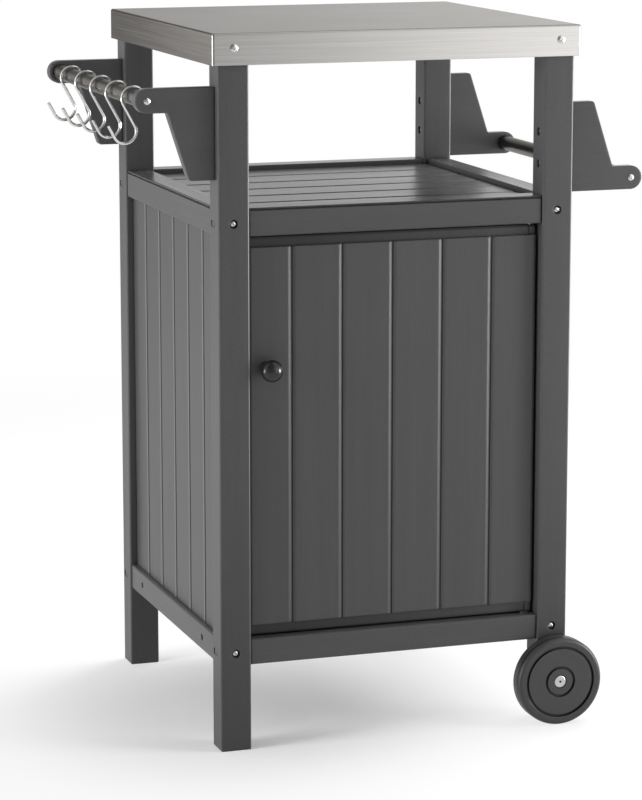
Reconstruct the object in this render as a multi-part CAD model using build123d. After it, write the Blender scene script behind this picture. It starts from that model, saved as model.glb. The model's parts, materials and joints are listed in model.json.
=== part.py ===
from build123d import *
import math
import os

# A wheeled outdoor grill cart: a steel worktop on four resin posts, a plank cabinet with one door,
# a shelf above the cabinet, a bar on each side and hooks on one bar.
# Sizes are in millimetres. The origin is on the floor under the middle of the cart,
# +X points to the wheel side, +Y to the back and +Z up.

# Worktop
work_height = 900.0
top_overhang_x = 7.8
top_overhang_y = 4.3
rim_height = 39.0
sheet = 1.0
rim_edge_radius = 3.0
core_clearance = 0.3
core_corner_radius = 6.0
core_edge_chamfer = 2.5
core_plate = 4.0
core_skirt_height = 35.0
core_rib = 3.0
core_rib_depth = 26.0
core_rib_count = 2

# Posts
post_span_x = 466.4
post_span_y = 464.4
post_width = 39.6
post_depth = 36.0
post_wall = 3.4
bolt_wall = 6.4
post_floor = 6.0
post_edge_radius = 2.0
wheel_leg_height = 25.0
foot_chamfer = 1.0

# Rails
rail_depth = 31.0
front_rail_recess = 3.0
side_rail_recess = 2.0
upper_rail_drop = 214.0
upper_rail_height = 35.0
lower_rail_bottom = 109.5
lower_rail_height = 32.5
rail_end_gap = 0.2
rail_edge_radius = 2.0
rail_wall = 3.5
rail_pocket_depth = 20.0
rail_pocket_count = 5
shadow_groove_height = 2.0
shadow_groove_depth = 2.5
shadow_groove_drop = 1.4
lip_width = 8.0
lip_thickness = 4.0
lip_gap = 0.5
side_hole_radius = 4.3
side_hole_spacing = 284.0

# Joints between rails and posts
tenon_thickness = 9.0
tenon_height = 24.0
tenon_setback = 23.1
tenon_clearance = 0.25
stub_length = 6.0
stub_width = 20.0
nib_width = 9.0
nib_height = 7.4
nib_inset = 0.6
nib_drop = 1.0
nib_window_width = 15.0

# Boards and panels
plank_pitch = 66.2
groove_width = 3.2
groove_depth = 2.0
plank_bevel_width = 3.0
plank_bevel_depth = 1.2
shelf_drop = 6.4
board_thickness = 8.0
board_gap = 0.5
board_rib = 3.0
board_rib_depth = 12.0
board_rib_count = 3
floor_drop = 2.0
panel_recess = 9.4
panel_skin = 6.0
panel_gap = 0.3
panel_tongue = 6.0
panel_tongue_clearance = 0.2
panel_rib = 3.0
panel_rib_depth = 8.0
panel_rib_count = 4

# Door
door_recess = 13.2
door_thickness = 15.0
door_skin = 7.0
door_wall = 4.0
door_latch_gap = 3.1
door_hinge_gap = 3.1
door_plank_shift = -2.4
door_end_gap = 2.5
door_band_height = 13.0
door_band_depth = 4.0
door_edge_radius = 1.5
door_rib = 3.0
door_rib_count = 4
hinge_setback = 7.5
hinge_block = 15.0
hinge_pin_radius = 3.0
hinge_pin_in_door = 20.0
hinge_pin_in_rail = 12.0
hinge_pin_chamfer = 0.6
hinge_running_clearance = 0.05
hinge_seat_clearance = 0.03
hinge_washer_radius = 7.0
hinge_washer_gap = 0.2

# Knob
knob_from_latch_edge = 23.6
knob_drop = 164.5
knob_radius = 14.0
knob_base_radius = 9.5
knob_base_edge = 1.8
knob_waist_radius = 6.5
knob_waist_height = 6.5
knob_projection = 30.7
knob_flatness = 0.8
knob_shoulder_share = 0.8
knob_shoulder_rise_share = 0.6

# Door catch
catch_from_latch_edge = 40.0
catch_length = 42.0
catch_height = 16.0
catch_depth = 16.0
catch_tab_thickness = 3.0
catch_tab_height = 12.0
catch_clearance = 0.3
strike_thickness = 1.2
strike_height = 13.0
strike_pad = 2.0

# Brackets and bars
bracket_thickness = 14.0
bracket_height = 113.6
bracket_foot_width = 33.0
bracket_notch_reach = 60.0
arm_height = 30.0
bar_reach = 85.3
bracket_corner_radius = 4.5
bracket_notch_radius = 3.0
bracket_edge_chamfer = 0.8
left_bracket_drop = 65.4
right_bracket_rise = 2.4
bracket_bolt_spacing = 40.6
bar_radius = 10.0
bar_wall = 1.5
bar_seat_depth = 5.0
bar_seat_clearance = 0.15
bar_plug_length = 18.0
bar_plug_clearance = 0.05

# Fasteners
bolt_radius = 2.5
bolt_hole_clearance = 0.15
bolt_head_radius = 4.2
bolt_head_height = 2.8
head_edge_share = 0.45
counterbore_radius = 5.4
counterbore_depth = 3.4
sleeve_radius = 7.5
rail_bolt_rise = 16.5
rail_bolt_length = 24.0
bracket_bolt_grip = 14.0
bracket_bolt_tip_gap = 1.0
screw_radius = 2.0
screw_hole_clearance = 0.1
screw_head_radius = 5.0
screw_head_height = 2.4
rim_screw_drop = 18.0
rim_screw_length = 14.0
bar_screw_length = 18.0
bar_screw_head_radius = 4.2
knob_screw_depth = 12.0

# Wheels
wheel_radius = 57.5
wheel_width = 24.0
tyre_seat_radius = 46.8
tyre_clearance = 0.1
tyre_bead_width = 7.0
tyre_bead_depth = 2.5
tyre_shoulder = 5.0
tread_line_width = 1.4
tread_line_depth = 1.0
tread_line_setback = 8.0
hub_wall = 4.0
hub_web = 6.0
hub_boss_radius = 17.0
hub_ring_width = 3.6
hub_ring_depth = 3.4
hub_step_width = 3.4
hub_step_depth = 3.4
tyre_edge_chamfer = 0.4
hub_face_setback = 0.6
hub_spoke_count = 6
hub_spoke = 3.0
hub_spoke_overlap = 1.0
axle_radius = 5.0
axle_offset = 2.7
axle_hole_clearance = 0.1
axle_running_clearance = 0.05
axle_sleeve_radius = 8.0
washer_radius = 11.0
washer_thickness = 1.4
wheel_end_gap = 0.3
cap_radius = 8.0
cap_thickness = 3.2
cap_recess_radius = 8.8
cap_recess_depth = 3.6
cap_edge_radius = 1.2
cap_dimple_radius = 1.5
cap_dimple_depth = 0.8
axle_in_cap = 1.6
axle_head_radius = 9.0
axle_head_height = 3.5
axle_head_edge = 1.0

# Hooks
hook_wire_radius = 2.0
hook_loop_radius = 14.5
hook_clearance = 0.3
hook_bowl_offset = -11.3
hook_bowl_drop = 42.5
hook_bowl_tip = 17.0
hook_loop_tip = 9.0
hook_spacing = 76.0
hook_row_centre = -8.0
hook_count = 5

# Places worked out from the sizes above
post_outer_x = post_span_x / 2
post_outer_y = post_span_y / 2
post_inner_x = post_outer_x - post_width
post_inner_y = post_outer_y - post_depth
post_centre_x = post_outer_x - post_width / 2
post_centre_y = post_outer_y - post_depth / 2
top_width = post_span_x + 2 * top_overhang_x
top_depth = post_span_y + 2 * top_overhang_y
rim_screw_height = work_height - rim_screw_drop
pan_inner_x = top_width / 2 - sheet
pan_inner_y = top_depth / 2 - sheet
core_top = work_height - sheet
post_top = core_top - core_plate
upper_rail_top = work_height - upper_rail_drop
upper_rail_bottom = upper_rail_top - upper_rail_height
lower_rail_top = lower_rail_bottom + lower_rail_height
front_rail_outer = post_outer_y - front_rail_recess
front_rail_inner = front_rail_outer - rail_depth
side_rail_outer = post_outer_x - side_rail_recess
side_rail_inner = side_rail_outer - rail_depth
shelf_top = upper_rail_top - shelf_drop
floor_top = lower_rail_top - floor_drop
side_panel_face = post_outer_x - panel_recess
back_panel_face = post_outer_y - panel_recess
door_front = -post_outer_y + door_recess
door_back = door_front + door_thickness
door_left = -post_inner_x + door_latch_gap
door_right = post_inner_x - door_hinge_gap
door_centre_x = (door_left + door_right) / 2
door_bottom = lower_rail_top + door_end_gap
door_top = upper_rail_bottom - door_end_gap
hinge_x = door_right - hinge_setback
hinge_y = (door_front + door_back) / 2
knob_x = door_left + knob_from_latch_edge
knob_height = door_top - knob_drop
bar_x = post_outer_x + bar_reach
left_bracket_top = work_height - left_bracket_drop
right_bracket_bottom = upper_rail_top + right_bracket_rise
left_bar_height = left_bracket_top - arm_height / 2
right_bar_height = right_bracket_bottom + arm_height / 2
left_bolt_height = left_bracket_top - bracket_height / 2
right_bolt_height = right_bracket_bottom + bracket_height / 2
axle_x = post_centre_x + axle_offset
bracket_inner_y = post_centre_y - bracket_thickness / 2
bar_half_length = bracket_inner_y + bar_seat_depth
wheel_inner_y = post_outer_y + washer_thickness + wheel_end_gap
wheel_outer_y = wheel_inner_y + wheel_width
cap_inner_y = wheel_outer_y - hub_face_setback - cap_recess_depth + wheel_end_gap
upper_rail = (upper_rail_bottom, upper_rail_top, upper_rail_bottom + rail_bolt_rise)
lower_rail = (lower_rail_bottom, lower_rail_top, lower_rail_bottom + rail_bolt_rise)
rail_levels = (upper_rail, lower_rail)


def block(x_range, y_range, z_range):
    """A box between two places on each axis, given in either order."""
    spans = [sorted(span) for span in (x_range, y_range, z_range)]
    sizes = [high - low for low, high in spans]
    low_corner = [low for low, high in spans]
    return Pos(*low_corner) * Box(*sizes, align=(Align.MIN, Align.MIN, Align.MIN))


def rod(radius, start, direction, length):
    """A round bar from a start point along a direction."""
    plane = Plane(origin=start, z_dir=direction)
    return plane * Cylinder(radius, length, align=(Align.CENTER, Align.CENTER, Align.MIN))


def closed_face(*curves):
    """A flat face inside lines and arcs that meet end to end."""
    return make_face([edge for curve in curves for edge in curve.edges()])


def turned(outline, centre, direction):
    """A turned shape: the outline is (radius, distance along the axis) points and arcs."""
    plane = Plane(origin=centre, x_dir=(0, 0, 1), z_dir=direction)
    turning = Plane(origin=centre, x_dir=plane.x_dir, z_dir=-plane.y_dir)
    return revolve(turning * outline, Axis(centre, direction))


def dome_arc(radius, base, rise):
    """A round top that starts at a radius, ends on the turning axis and is square to it there."""
    ball = (radius**2 + rise**2) / (2 * abs(rise))
    half_turn = math.asin(min(radius / ball, 1)) / 2
    crown = base + rise
    middle = (ball * math.sin(half_turn), crown - math.copysign(ball * (1 - math.cos(half_turn)), rise))
    return ThreePointArc((radius, base), middle, (0, crown))


def rounded(start, corner, end):
    """A quarter round between two points, in place of a square corner."""
    centre = [first + last - apex for first, last, apex in zip(start, end, corner)]
    middle = tuple(mid + (apex - mid) / math.sqrt(2) for mid, apex in zip(centre, corner))
    return ThreePointArc(start, middle, end)


def spread(count, half_length):
    """Evenly spaced places strictly between minus and plus a half length."""
    step = 2 * half_length / (count + 1)
    return [-half_length + step * (index + 1) for index in range(count)]


def long_edges(solid, axis):
    return solid.edges().filter_by(axis)


def domed_fastener(centre, direction, shank, shank_length, head, head_height):
    """A pan-head fastener: centre is under the head and direction points along the shank."""
    edge = -head_height * head_edge_share
    profile = closed_face(
        Polyline((0, shank_length), (shank, shank_length), (shank, 0), (head, 0), (head, edge)),
        dome_arc(head, edge, -head_height - edge),
        Line((0, -head_height), (0, shank_length)),
    )
    return turned(profile, centre, direction)


def bolt(seat, direction, length):
    return domed_fastener(seat, direction, bolt_radius, length, bolt_head_radius, bolt_head_height)


def screw(seat, direction, length, head_radius):
    return domed_fastener(seat, direction, screw_radius, length, head_radius, screw_head_height)


# Worktop: a folded steel pan over a ribbed resin core

def make_worktop_pan():
    low = work_height - rim_height
    outer = block((-top_width / 2, top_width / 2), (-top_depth / 2, top_depth / 2), (low, work_height))
    outer = fillet(long_edges(outer, Axis.Z), rim_edge_radius)
    outer = fillet(outer.faces().sort_by(Axis.Z)[-1].edges(), rim_edge_radius)
    inner_radius = rim_edge_radius - sheet
    inner = block((-pan_inner_x, pan_inner_x), (-pan_inner_y, pan_inner_y), (low - sheet, core_top))
    inner = fillet(long_edges(inner, Axis.Z), inner_radius)
    inner = fillet(inner.faces().sort_by(Axis.Z)[-1].edges(), inner_radius)
    pan = outer - inner
    for x, side in rim_screw_places():
        start = (x, side * top_depth / 2, rim_screw_height)
        pan -= rod(screw_radius + screw_hole_clearance, start, (0, -side, 0), sheet)
    return pan


def rim_screw_places():
    return [(x, side) for x in (-post_centre_x, post_centre_x) for side in (-1, 1)]


def make_worktop_core():
    half_x = pan_inner_x - core_clearance
    half_y = pan_inner_y - core_clearance
    outer = block((-half_x, half_x), (-half_y, half_y), (core_top - core_skirt_height, core_top))
    outer = fillet(long_edges(outer, Axis.Z), core_corner_radius)
    outer = chamfer(outer.faces().sort_by(Axis.Z)[-1].edges(), core_edge_chamfer)
    inside_x = post_outer_x + core_clearance
    inside_y = post_outer_y + core_clearance
    low = core_top - core_skirt_height
    core = outer - block((-inside_x, inside_x), (-inside_y, inside_y), (low, post_top))
    socket_x = post_inner_x - core_clearance - core_rib / 2
    socket_y = post_inner_y - core_clearance - core_rib / 2
    rib_low = post_top - core_rib_depth
    for x in [-socket_x, socket_x] + spread(core_rib_count, socket_x):
        core += block((x - core_rib / 2, x + core_rib / 2), (-inside_y, inside_y), (rib_low, post_top))
    for y in [-socket_y, socket_y] + spread(core_rib_count, socket_y):
        core += block((-inside_x, inside_x), (y - core_rib / 2, y + core_rib / 2), (rib_low, post_top))
    for x, side in rim_screw_places():
        start = (x, side * pan_inner_y, rim_screw_height)
        core -= rod(screw_radius + screw_hole_clearance, start, (0, -side, 0), pan_inner_y - post_outer_y)
    return core


def make_rim_screws():
    screws = []
    for x, side in rim_screw_places():
        seat = (x, side * top_depth / 2, rim_screw_height)
        screws.append(screw(seat, (0, -side, 0), rim_screw_length, screw_head_radius))
    return screws


# Posts: hollow legs with windows for the rails and sleeves for the bolts

def tenon_centre_y(side_y):
    """The middle of a rail tenon, measured back from the front face of its post."""
    post_front = -post_outer_y if side_y < 0 else post_inner_y
    return post_front + tenon_setback


def make_post(side_x, side_y, foot, bracket_height_mid):
    x_range = (side_x * post_inner_x, side_x * post_outer_x)
    y_range = (side_y * post_inner_y, side_y * post_outer_y)
    post = block(x_range, y_range, (foot, post_top))
    post = fillet(long_edges(post, Axis.Z), post_edge_radius)
    post = chamfer(post.faces().sort_by(Axis.Z)[0].edges(), foot_chamfer)
    cavity_x = (side_x * (post_inner_x + post_wall), side_x * (post_outer_x - post_wall))
    cavity_y = (side_y * (post_inner_y + post_wall), side_y * (post_outer_y - bolt_wall))
    post -= block(cavity_x, cavity_y, (foot + post_floor, post_top))

    # Sleeves carry the bracket bolts across the hollow
    for height in bracket_bolt_heights(bracket_height_mid):
        start = (side_x * post_inner_x, side_y * post_centre_y, height)
        outward = (side_x, 0, 0)
        sleeve_start = (side_x * (post_inner_x + post_wall), side_y * post_centre_y, height)
        post += rod(sleeve_radius, sleeve_start, outward, post_width - 2 * post_wall)
        post -= rod(bolt_radius + bolt_hole_clearance, start, outward, post_width)
        post -= rod(counterbore_radius, start, outward, counterbore_depth)

    for low, high, bolt_height in rail_levels:
        # Bolt seat on the outer face
        seat = (side_x * post_centre_x, side_y * post_outer_y, bolt_height)
        post -= rod(counterbore_radius, seat, (0, -side_y, 0), counterbore_depth)
        post -= rod(bolt_radius + bolt_hole_clearance, seat, (0, -side_y, 0), bolt_wall)
        # Window for the tenon of the front or back rail
        middle = tenon_centre_y(side_y)
        half_thickness = tenon_thickness / 2 + tenon_clearance
        half_height = tenon_height / 2 + tenon_clearance
        window_x = (side_x * post_inner_x, side_x * (post_inner_x + post_wall))
        window_z = (bolt_height - half_height, bolt_height + half_height)
        post -= block(window_x, (middle - half_thickness, middle + half_thickness), window_z)
        # Window that shows the snap nib on the tenon's end
        nib_x = (side_x * (post_outer_x - post_wall), side_x * post_outer_x)
        half_width = nib_window_width / 2
        half_nib = nib_height / 2 + tenon_clearance
        nib_middle = bolt_height - nib_drop
        nib_z = (nib_middle - half_nib, nib_middle + half_nib)
        post -= block(nib_x, (middle - half_width, middle + half_width), nib_z)
        # Window for the stub of the side rail
        stub_y = (side_y * post_inner_y, side_y * (post_inner_y + post_wall))
        half_stub = stub_width / 2 + tenon_clearance
        stub_x = (side_x * (post_centre_x - half_stub), side_x * (post_centre_x + half_stub))
        post -= block(stub_x, stub_y, window_z)

    # Pilot hole for the rim screw
    pilot = (side_x * post_centre_x, side_y * post_outer_y, rim_screw_height)
    post -= rod(screw_radius + screw_hole_clearance, pilot, (0, -side_y, 0), bolt_wall)

    # Sleeve for the axle on the wheel side
    if side_x > 0:
        bore_start = (axle_x, side_y * post_outer_y, wheel_radius)
        sleeve_start = (axle_x, side_y * (post_outer_y - bolt_wall), wheel_radius)
        inward = (0, -side_y, 0)
        post += rod(axle_sleeve_radius, sleeve_start, inward, post_depth - bolt_wall - post_wall)
        post -= rod(axle_radius + axle_hole_clearance, bore_start, inward, post_depth)
    return post


def bracket_bolt_heights(middle):
    return [middle - bracket_bolt_spacing / 2, middle + bracket_bolt_spacing / 2]


# Rails: boards with tenons at the ends, pockets underneath and a lip that carries a board

def board_underside(level):
    top = shelf_top if level is upper_rail else floor_top
    return top - groove_depth - board_thickness


def rail_pockets(rail, length_range, depth_range, low, along_x):
    """Cut a row of pockets into the underside of a rail, with ribs between them."""
    start, end = length_range
    pitch = (end - start) / rail_pocket_count
    z_range = (low, low + rail_pocket_depth)
    for index in range(rail_pocket_count):
        span = (start + pitch * index + rail_wall / 2, start + pitch * (index + 1) - rail_wall / 2)
        if along_x:
            rail -= block(span, depth_range, z_range)
        else:
            rail -= block(depth_range, span, z_range)
    return rail


def make_cross_rail(side_y, level):
    """A front or back rail, which runs along X between two posts."""
    low, high, bolt_height = level
    outer = side_y * front_rail_outer
    inner = side_y * front_rail_inner
    half = post_inner_x - rail_end_gap
    rail = block((-half, half), (outer, inner), (low, high))
    outer_face = rail.faces().sort_by(Axis.Y)[0 if side_y < 0 else -1]
    rail = fillet(outer_face.edges(), rail_edge_radius)
    rail = rail_groove(rail, side_y, high, along_x=True) if level is upper_rail else rail

    pocket_end = hinge_x - hinge_block if side_y < 0 else half - rail_wall
    pocket_outer = outer - side_y * rail_wall
    if side_y > 0 and level is upper_rail:
        pocket_outer = back_panel_face - groove_depth - panel_skin - rail_wall
    pocket_depth = (pocket_outer, inner + side_y * rail_wall)
    rail = rail_pockets(rail, (-half + rail_wall, pocket_end), pocket_depth, low, along_x=True)
    if side_y > 0:
        rail -= panel_slot(back_panel_face, level, half, along_x=True)

    lip_top = board_underside(level)
    lip_half = post_inner_x - lip_gap
    lip_y = (inner, inner - side_y * lip_width)
    rail += block((-lip_half, lip_half), lip_y, (lip_top - lip_thickness, lip_top))

    middle = tenon_centre_y(side_y)
    tip = post_outer_x - post_wall - tenon_clearance
    for side_x in (-1, 1):
        tenon_x = (side_x * half, side_x * tip)
        tenon_y = (middle - tenon_thickness / 2, middle + tenon_thickness / 2)
        rail += block(tenon_x, tenon_y, (bolt_height - tenon_height / 2, bolt_height + tenon_height / 2))
        nib_x = (side_x * tip, side_x * (post_outer_x - nib_inset))
        nib_middle = bolt_height - nib_drop
        nib_z = (nib_middle - nib_height / 2, nib_middle + nib_height / 2)
        rail += block(nib_x, (middle - nib_width / 2, middle + nib_width / 2), nib_z)
        hole_start = (side_x * post_centre_x, middle - tenon_thickness / 2, bolt_height)
        rail -= rod(bolt_radius + bolt_hole_clearance, hole_start, (0, 1, 0), tenon_thickness)

    if side_y < 0:
        bore_height = low if level is upper_rail else high
        inward = (0, 0, 1) if level is upper_rail else (0, 0, -1)
        bore_radius = hinge_pin_radius + hinge_running_clearance
        bore_depth = hinge_pin_in_rail + hinge_washer_gap
        rail -= rod(bore_radius, (hinge_x, hinge_y, bore_height), inward, bore_depth)
    return rail


def make_side_rail(side_x, level):
    """A left or right rail, which runs along Y between two posts."""
    low, high, bolt_height = level
    outer = side_x * side_rail_outer
    inner = side_x * side_rail_inner
    half = post_inner_y - rail_end_gap
    rail = block((outer, inner), (-half, half), (low, high))
    outer_face = rail.faces().sort_by(Axis.X)[0 if side_x < 0 else -1]
    rail = fillet(outer_face.edges(), rail_edge_radius)
    rail = rail_groove(rail, side_x, high, along_x=False) if level is upper_rail else rail

    pocket_outer = outer - side_x * rail_wall
    if level is upper_rail:
        pocket_outer = side_x * (side_panel_face - groove_depth - panel_skin - rail_wall)
    pocket_depth = (pocket_outer, inner + side_x * rail_wall)
    rail = rail_pockets(rail, (-half + rail_wall, half - rail_wall), pocket_depth, low, along_x=False)
    rail -= panel_slot(side_x * side_panel_face, level, half, along_x=False)

    lip_top = board_underside(level)
    lip_half = front_rail_inner - lip_width - lip_gap
    lip_x = (inner, inner - side_x * lip_width)
    rail += block(lip_x, (-lip_half, lip_half), (lip_top - lip_thickness, lip_top))

    stub_x = (side_x * (post_centre_x - stub_width / 2), side_x * (post_centre_x + stub_width / 2))
    stub_z = (bolt_height - tenon_height / 2, bolt_height + tenon_height / 2)
    for side_y in (-1, 1):
        stub_y = (side_y * half, side_y * (post_inner_y + stub_length))
        rail += block(stub_x, stub_y, stub_z)
    if level is lower_rail:
        for y in (-side_hole_spacing / 2, side_hole_spacing / 2):
            rail -= rod(side_hole_radius, (outer, y, bolt_height), (-side_x, 0, 0), rail_wall)
    return rail


def rail_groove(rail, side, high, along_x):
    """Cut the narrow shadow line under the outer top edge of an upper rail."""
    z_range = (high - shadow_groove_drop - shadow_groove_height, high - shadow_groove_drop)
    reach = max(post_span_x, post_span_y)
    outer = side * (front_rail_outer if along_x else side_rail_outer)
    depth_range = (outer, outer - side * shadow_groove_depth)
    if along_x:
        return rail - block((-reach, reach), depth_range, z_range)
    return rail - block(depth_range, (-reach, reach), z_range)


def panel_slot(face, level, half, along_x):
    """The slot that takes a panel's tongue, below an upper rail or on top of a lower one."""
    low, high, bolt_height = level
    side = math.copysign(1, face)
    skin_outer = face - side * groove_depth
    clearance = side * panel_tongue_clearance
    depth_range = (skin_outer + clearance, skin_outer - side * panel_skin - clearance)
    depth = panel_tongue + panel_gap
    z_range = (low, low + depth) if level is upper_rail else (high - depth, high)
    if along_x:
        return block((-half, half), depth_range, z_range)
    return block(depth_range, (-half, half), z_range)


def make_rail_bolts():
    bolts = []
    for level in rail_levels:
        for x in (-post_centre_x, post_centre_x):
            for side_y in (-1, 1):
                seat = (x, side_y * (post_outer_y - counterbore_depth), level[2])
                bolts.append(bolt(seat, (0, -side_y, 0), rail_bolt_length))
    return bolts


# Boards and panels: skins with raised planks

def plank_ranges(low, high, centre):
    """The planks between two edges, with grooves at an even pitch about a centre."""
    steps_down = math.floor((centre - low) / plank_pitch - 0.5)
    steps_up = math.floor((high - centre) / plank_pitch - 0.5)
    grooves = [centre + plank_pitch * step for step in range(-steps_down, steps_up + 1)]
    edges = [low] + [place for groove in grooves for place in groove_edges(groove)] + [high]
    return list(zip(edges[0::2], edges[1::2]))


def groove_edges(groove):
    return (groove - groove_width / 2, groove + groove_width / 2)


def add_plank(skin, plank, outward):
    """Join a plank to its skin, with a shallow bevel along both long edges of its outer face."""
    normal = Vector(*outward)
    face = max(plank.faces(), key=lambda one: one.center().dot(normal))
    long_sides = face.edges().sort_by(SortBy.LENGTH)[-2:]
    return skin + chamfer(long_sides, plank_bevel_width, plank_bevel_depth, reference=face)


def make_board(level, planked):
    """A shelf or floor board that lies on the lips of four rails, notched round the posts."""
    underside = board_underside(level)
    half_x = side_rail_inner - board_gap
    half_y = front_rail_inner - board_gap
    skin_top = underside + board_thickness
    board = block((-half_x, half_x), (-half_y, half_y), (underside, skin_top))
    if planked:
        plank_half_x = half_x - groove_width
        for low, high in plank_ranges(-half_y, half_y, 0):
            plank = block((-plank_half_x, plank_half_x), (low, high), (skin_top, skin_top + groove_depth))
            board = add_plank(board, plank, (0, 0, 1))
    else:
        board += block((-half_x, half_x), (-half_y, half_y), (skin_top, skin_top + groove_depth))
    rib_half_x = side_rail_inner - lip_width - 2 * lip_gap
    rib_half_y = front_rail_inner - lip_width - 2 * lip_gap
    rib_z = (underside - board_rib_depth, underside)
    for x in spread(board_rib_count, rib_half_x):
        board += block((x - board_rib / 2, x + board_rib / 2), (-rib_half_y, rib_half_y), rib_z)
    for y in spread(board_rib_count, rib_half_y):
        board += block((-rib_half_x, rib_half_x), (y - board_rib / 2, y + board_rib / 2), rib_z)
    notch_x = post_inner_x - board_gap
    notch_y = post_inner_y - board_gap
    notch_z = (underside, skin_top + groove_depth)
    for side_x in (-1, 1):
        for side_y in (-1, 1):
            corner_x = (side_x * notch_x, side_x * half_x)
            corner_y = (side_y * notch_y, side_y * half_y)
            board -= block(corner_x, corner_y, notch_z)
    return board


def panel_box(face, along_x, length_range, depth_range, z_range):
    """A block of a panel, with depth counted inward from the planks' face."""
    side = math.copysign(1, face)
    across = (face - side * depth_range[0], face - side * depth_range[1])
    if along_x:
        return block(length_range, across, z_range)
    return block(across, length_range, z_range)


def make_panel(face, along_x):
    """A side or back panel: raised planks, tongues above and below, ribs inside."""
    half = (post_inner_x if along_x else post_inner_y) - panel_gap
    low = lower_rail_top
    high = upper_rail_bottom
    skin_inner = groove_depth + panel_skin
    tongue_z = (low - panel_tongue, high + panel_tongue)
    panel = panel_box(face, along_x, (-half, half), (groove_depth, skin_inner), tongue_z)
    side = math.copysign(1, face)
    outward = (0, side, 0) if along_x else (side, 0, 0)
    plank_z = (low + panel_gap, high - panel_gap)
    for span in plank_ranges(-half, half, 0):
        panel = add_plank(panel, panel_box(face, along_x, span, (0, groove_depth), plank_z), outward)
    middle = (low + high) / 2
    rib_half = half - panel_rib
    for offset in spread(panel_rib_count, (high - low) / 2):
        rib_z = (middle + offset - panel_rib / 2, middle + offset + panel_rib / 2)
        rib_depth = (skin_inner, skin_inner + panel_rib_depth)
        panel += panel_box(face, along_x, (-rib_half, rib_half), rib_depth, rib_z)
    return panel


# Door: raised planks on a ribbed tray that turns on two pins

def make_door_panel():
    door = block((door_left, door_right), (door_front + groove_depth, door_back), (door_bottom, door_top))
    door = fillet(long_edges(door, Axis.Z), door_edge_radius)
    band_low = door_bottom + door_band_height
    band_high = door_top - door_band_height
    plank_centre = door_centre_x + door_plank_shift
    for low, high in plank_ranges(door_left, door_right, plank_centre):
        plank = block((low, high), (door_front, door_front + groove_depth), (band_low, band_high))
        door = add_plank(door, plank, (0, -1, 0))
    band_y = (door_front, door_front + door_band_depth)
    door -= block((door_left, door_right), band_y, (door_bottom, band_low))
    door -= block((door_left, door_right), band_y, (band_high, door_top))

    skin_back = door_front + door_skin
    inside_x = (door_left + door_wall, door_right - door_wall)
    inside_z = (door_bottom + door_wall, door_top - door_wall)
    door -= block(inside_x, (skin_back, door_back), inside_z)
    middle = (door_bottom + door_top) / 2
    for offset in spread(door_rib_count, (door_top - door_bottom) / 2):
        rib_z = (middle + offset - door_rib / 2, middle + offset + door_rib / 2)
        door += block(inside_x, (skin_back, door_back), rib_z)
    rib_x = (door_centre_x - door_rib / 2, door_centre_x + door_rib / 2)
    door += block(rib_x, (skin_back, door_back), inside_z)

    # Blocks in the hinge corners hold the pins
    block_x = (door_right - hinge_block, door_right - door_wall)
    block_length = hinge_pin_in_door + door_wall
    seat_radius = hinge_pin_radius + hinge_seat_clearance
    for end, inward in ((door_bottom, 1), (door_top, -1)):
        corner_z = (end + inward * door_wall, end + inward * block_length)
        door += block(block_x, (skin_back, door_back), corner_z)
        door -= rod(seat_radius, (hinge_x, hinge_y, end), (0, 0, inward), hinge_pin_in_door)

    # A pad carries the strike of the catch
    pad_half = catch_length / 2 + strike_pad
    pad_x = (catch_x() - pad_half, catch_x() + pad_half)
    pad_z = (door_top - strike_height - 2 * strike_pad, door_top - door_wall)
    door += block(pad_x, (skin_back, door_back), pad_z)
    hole_start = (knob_x, door_front, knob_height)
    door -= rod(screw_radius + screw_hole_clearance, hole_start, (0, 1, 0), door_skin)
    door -= rod(counterbore_radius, (knob_x, skin_back, knob_height), (0, 1, 0), door_thickness)
    return door


def make_hinge_pin(end, inward):
    """A steel pin seated in the door that runs in a rail's bore."""
    length = hinge_pin_in_door + door_end_gap + hinge_pin_in_rail
    start = (hinge_x, hinge_y, end + inward * hinge_pin_in_door)
    pin = rod(hinge_pin_radius, start, (0, 0, -inward), length)
    return chamfer(pin.edges().filter_by(GeomType.CIRCLE), hinge_pin_chamfer)


def make_hinge_washer():
    """A flat washer on the lower rail that carries the door."""
    start = (hinge_x, hinge_y, lower_rail_top)
    thickness = door_end_gap - hinge_washer_gap
    ring = rod(hinge_washer_radius, start, (0, 0, 1), thickness)
    return ring - rod(hinge_pin_radius + hinge_running_clearance, start, (0, 0, 1), thickness)


def make_door_knob():
    """A round knob with a waisted stem, screwed on from behind."""
    ball_half = knob_radius * knob_flatness
    ball_middle = knob_projection - ball_half
    shoulder = knob_radius * knob_shoulder_share
    rise = ball_half * knob_shoulder_rise_share
    bore = screw_radius + screw_hole_clearance
    base_top = (knob_base_radius, knob_base_edge)
    shoulder_back = (shoulder, ball_middle - rise)
    shoulder_front = (shoulder, ball_middle + rise)
    profile = closed_face(
        Polyline((bore, 0), (knob_base_radius, 0), base_top),
        ThreePointArc(base_top, (knob_waist_radius, knob_waist_height), shoulder_back),
        ThreePointArc(shoulder_back, (knob_radius, ball_middle), shoulder_front),
        dome_arc(shoulder, ball_middle + rise, ball_half - rise),
        Polyline((0, knob_projection), (0, knob_screw_depth), (bore, knob_screw_depth), (bore, 0)),
    )
    return turned(profile, (knob_x, door_front, knob_height), (0, -1, 0))


def make_knob_screw():
    seat = (knob_x, door_front + door_skin, knob_height)
    length = door_skin + knob_screw_depth - screw_hole_clearance
    return screw(seat, (0, -1, 0), length, bolt_head_radius)


# Catch: a magnet case on the front rail and a strike on the door

def catch_x():
    return door_left + catch_from_latch_edge


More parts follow.
